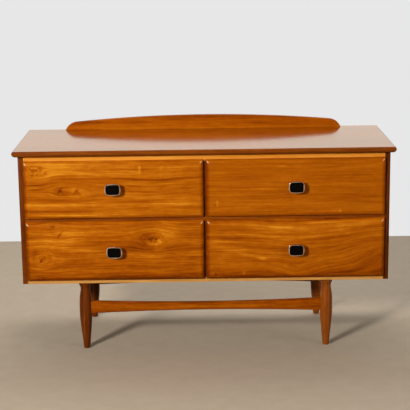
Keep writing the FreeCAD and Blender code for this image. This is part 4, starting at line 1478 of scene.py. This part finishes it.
@dataclass
class Screws:
    """All the screws of the chest, where the frame has them."""

    case: Case = field(default_factory=Case)
    rail_underside: float = 629.0
    rail_y: Spot = (-158.0, 184.5)
    rail_x: tuple[float, ...] = (-420.0, -150.0, 150.0, 420.0)
    back_z: Spot = (639.0, 237.0)
    back_x: tuple[float, ...] = (-430.0, -215.0, 0.0, 215.0, 430.0)
    back_shares: Point = (0.15, 0.5, 0.85)
    divider_half: float = 8.0
    runner_front: float = -177.5
    runner_length: float = 375.0
    runner_depth: float = 4.8
    runner_shares: Point = (0.12, 0.5, 0.88)
    box_lift: float = 22.0
    box_drop: float = 14.0
    top_size: ScrewSize = ScrewSize(3.6, 2.2, 1.9, 31.0)
    back_size: ScrewSize = ScrewSize(3.4, 1.6, 1.9, 11.5)
    runner_size: ScrewSize = ScrewSize(3.6, 2.2, 1.9, 11.3)
    bolt_size: ScrewSize = ScrewSize(4.0, 2.6, 1.95, 34.5)
    first_bolt_seed: int = 10
    finishes: dict[str, Metal] = field(default_factory=lambda: {
        "screw_steel": Metal("zinc", (0.55, 0.55, 0.56), (0.34, 0.34, 0.35), 0.35),
        "screw_brass": Metal("dull_brass", (0.60, 0.42, 0.16), (0.32, 0.21, 0.09), 0.42)})

    def top_places(self) -> list[Placed]:
        """The screws up through the top rails."""
        return [((x, y, self.rail_underside), (0, 0, -1)) for y in self.rail_y for x in self.rail_x]

    def back_places(self) -> list[Placed]:
        """The screws round the back panel: its top and bottom edges, then its two ends.

        Returns:
            Where each head sits and the way that it faces.
        """
        rear, low, high = self.case.rear, self.case.bottom, self.case.top
        side_x = self.case.half_width - self.case.panel + self.case.rebate / 2
        spots = [(x, z) for z in self.back_z for x in self.back_x]
        spots += [(sign * side_x, low + (high - low) * share)
                  for sign in SIDES.values() for share in self.back_shares]
        return [((x, rear, z), (0, 1, 0)) for x, z in spots]

    def runner_places(self) -> list[Placed]:
        """The screws through the runners, into the sides and into the divider.

        Returns:
            Where each head sits and the way that it faces.
        """
        wall_x = self.case.half_width - self.case.panel
        depths = [self.runner_front + self.runner_length * share for share in self.runner_shares]
        places = []
        for sign in SIDES.values():
            for low, high in (UPPER_Z, LOWER_Z):
                z = (low + self.box_lift + high - self.box_drop) / 2
                for wall, inward in ((sign * wall_x, -sign), (sign * self.divider_half, sign)):
                    places += [((wall + inward * self.runner_depth, y, z), (inward, 0, 0)) for y in depths]
        return places

    def sets(self) -> Iterable[ScrewSet]:
        """Every set of screws.

        Returns:
            The sets, those of the case first.
        """
        yield ScrewSet("top_screw_set", "top_screws", "case", "screw_steel", self.top_size,
                       self.top_places(), 1)
        yield ScrewSet("back_screw_set", "back_panel_screws", "case", "screw_brass", self.back_size,
                       self.back_places(), 2)
        yield ScrewSet("runner_screw_set", "runner_screws", "case", "screw_steel", self.runner_size,
                       self.runner_places(), 3)
        for seed, drawer in enumerate(DRAWERS, self.first_bolt_seed):
            place = (SIDES[drawer.side] * drawer.knob_x, drawer.back, drawer.knob_z)
            yield ScrewSet(f"{drawer.name}_knob_bolt", f"{drawer.name}_knob_screw", f"{drawer.name}_drawer",
                           "screw_steel", self.bolt_size, [(place, (0, 1, 0))], seed)

    def build(self) -> None:
        """Makes every set of screws."""
        finishes = {slot: metal.material() for slot, metal in self.finishes.items()}
        for screw_set in self.sets():
            screw_set.build(finishes[screw_set.slot])


@dataclass(frozen=True)
class Softbox:
    """A soft area lamp that faces a point of the object."""

    name: str
    place: Point
    aim: Point
    size: float
    power: float
    colour: Colour = (1.0, 1.0, 1.0)
    mirrored: bool = True
    spread: float = 180.0

    def build(self) -> None:
        """Adds the lamp. Places are metres here."""
        lamp = bpy.data.lights.new(self.name, "AREA")
        lamp.shape = "SQUARE"
        lamp.size = self.size
        lamp.energy = self.power
        lamp.color = self.colour
        lamp.spread = math.radians(self.spread)
        holder = bpy.data.objects.new(self.name, lamp)
        holder.location = self.place
        holder.visible_glossy = self.mirrored
        holder.rotation_euler = (Vector(self.aim) - Vector(self.place)).to_track_quat("-Z", "Y").to_euler()
        bpy.context.scene.collection.objects.link(holder)


@dataclass
class Studio:
    """The stage, the light and the camera. Lengths are metres here."""

    camera_place: Point = (-0.022, -4.1355, 1.374)
    pitch: float = 12.71
    yaw: float = 0.33
    roll: float = -0.72
    focal_pixels: float = 1261.0
    image_pixels: float = 410.0
    sensor: float = 36.0
    floor_front: float = -9.0
    floor_side: float = 8.0
    wall: float = 1.279
    wall_colour: Colour = (0.80, 0.80, 0.80)
    room_light: float = 0.08
    wall_light: float = 0.70
    room_shine: float = 0.03
    wall_shine: float = 1.02
    wall_rise: float = 1.6
    wall_level: float = 0.2
    shine_colour: Colour = (1.0, 0.92, 0.78)
    floor_finish: FloorPaint = FloorPaint("floor_paint", (0.56, 0.468, 0.36), (0.505, 0.415, 0.308))
    lamps: tuple[Softbox, ...] = (
        Softbox("key", (-3.2, -4.7, 2.4), (0.0, 0.0, 0.42), 0.8, 106.0, (1.0, 0.96, 0.90), spread=110.0),
        Softbox("fill", (4.6, -3.2, 1.9), (0.0, 0.0, 0.42), 2.6, 84.0, (1.0, 0.96, 0.90), False),
        Softbox("overhead", (0.0, 1.0, 2.3), (0.0, 0.9, 0.0), 1.2, 17.0),
    )

    def camera(self) -> None:
        """The camera at the photograph's viewing angle."""
        pitch, yaw, roll = (math.radians(angle) for angle in (self.pitch, self.yaw, self.roll))
        ahead = Vector((math.sin(yaw) * math.cos(pitch), math.cos(yaw) * math.cos(pitch), -math.sin(pitch)))
        level = Vector((math.cos(yaw), -math.sin(yaw), 0.0))
        over = level.cross(ahead)
        right = level * math.cos(roll) + over * math.sin(roll)
        up = over * math.cos(roll) - level * math.sin(roll)
        lens = bpy.data.cameras.new("camera")
        lens.sensor_width = self.sensor
        lens.lens = self.sensor * self.focal_pixels / self.image_pixels
        holder = bpy.data.objects.new("camera", lens)
        turn = Matrix((right, up, -ahead)).transposed().to_4x4()
        holder.matrix_world = Matrix.Translation(self.camera_place) @ turn
        bpy.context.scene.collection.objects.link(holder)
        bpy.context.scene.camera = holder

    def floor(self) -> None:
        """The floor, which ends where the wall of the studio stands."""
        mesh = bpy.data.meshes.new("floor")
        side, front, back = self.floor_side, self.floor_front, self.wall
        corners = [(-side, front, 0), (side, front, 0), (side, back, 0), (-side, back, 0)]
        mesh.from_pydata(corners, [], [range(len(corners))])
        mesh.materials.append(self.floor_finish.material())
        floor = bpy.data.objects.new("floor", mesh)
        bpy.context.scene.collection.objects.link(floor)

    def world(self) -> None:
        """Soft light from all round: a pale wall behind and a dimmer room in front."""
        world = bpy.data.worlds.new("studio")
        world.use_nodes = True
        sky = Tree(world.node_tree)
        sky.tree.nodes.clear()
        way = sky.node("ShaderNodeTexCoord").outputs["Generated"]
        back = Value(sky, sky.node("ShaderNodeSeparateXYZ", sockets={0: way}).outputs["Y"])
        share = (back * self.wall_rise + self.wall_level).clamped()
        light = share * (self.wall_light - self.room_light) + self.room_light
        shine = share * (self.wall_shine - self.room_shine) + self.room_shine
        path = sky.node("ShaderNodeLightPath").outputs
        seen, mirrored = Value(sky, path["Is Camera Ray"]), Value(sky, path["Is Glossy Ray"])
        light = light + (shine - light) * mirrored
        tint = sky.mix(mirrored, (1.0, 1.0, 1.0, 1.0), (*self.shine_colour, 1.0))
        lit = sky.node("ShaderNodeBackground", sockets={"Color": tint, "Strength": light})
        wall = sky.node("ShaderNodeBackground", sockets={"Color": (*self.wall_colour, 1.0), "Strength": 1.0})
        both = sky.node("ShaderNodeMixShader", sockets={0: seen, 1: lit, 2: wall})
        sky.node("ShaderNodeOutputWorld", sockets={"Surface": both})
        bpy.context.scene.world = world

    def build(self) -> None:
        """Sets the stage."""
        self.camera()
        self.floor()
        self.world()
        for lamp in self.lamps:
            lamp.build()
        bpy.context.scene.view_settings.view_transform = "Standard"


def main() -> None:
    """Builds every sub-assembly in order."""
    logging.basicConfig(level=logging.INFO, format="%(name)s %(message)s")
    Top().build()
    Case().build()
    Underframe().build()
    shared = DrawerFinishes(
        Metal("knob_champagne", (0.86, 0.64, 0.46), (0.62, 0.43, 0.29), 0.26).material(),
        Plastic("knob_black", (0.0015, 0.001, 0.0008), (0.0035, 0.0025, 0.002), 0.42).material(),
        Timber("drawer_side_bare", Palette.BARE, Grain.FRONT_TO_BACK, 41, roughness=0.6).material(),
        Timber("drawer_back_bare", Palette.BARE, Grain.ALONG_FRONT, 42, roughness=0.6).material(),
        Timber("drawer_ply", Palette.BARE, Grain.ALONG_TOP, 43, tone=0.1, contrast=0.4,
               roughness=0.65).material())
    for drawer in DRAWERS:
        drawer.build(shared)
    Screws().build()
    Studio().build()


if __name__ == "__main__":
    main()
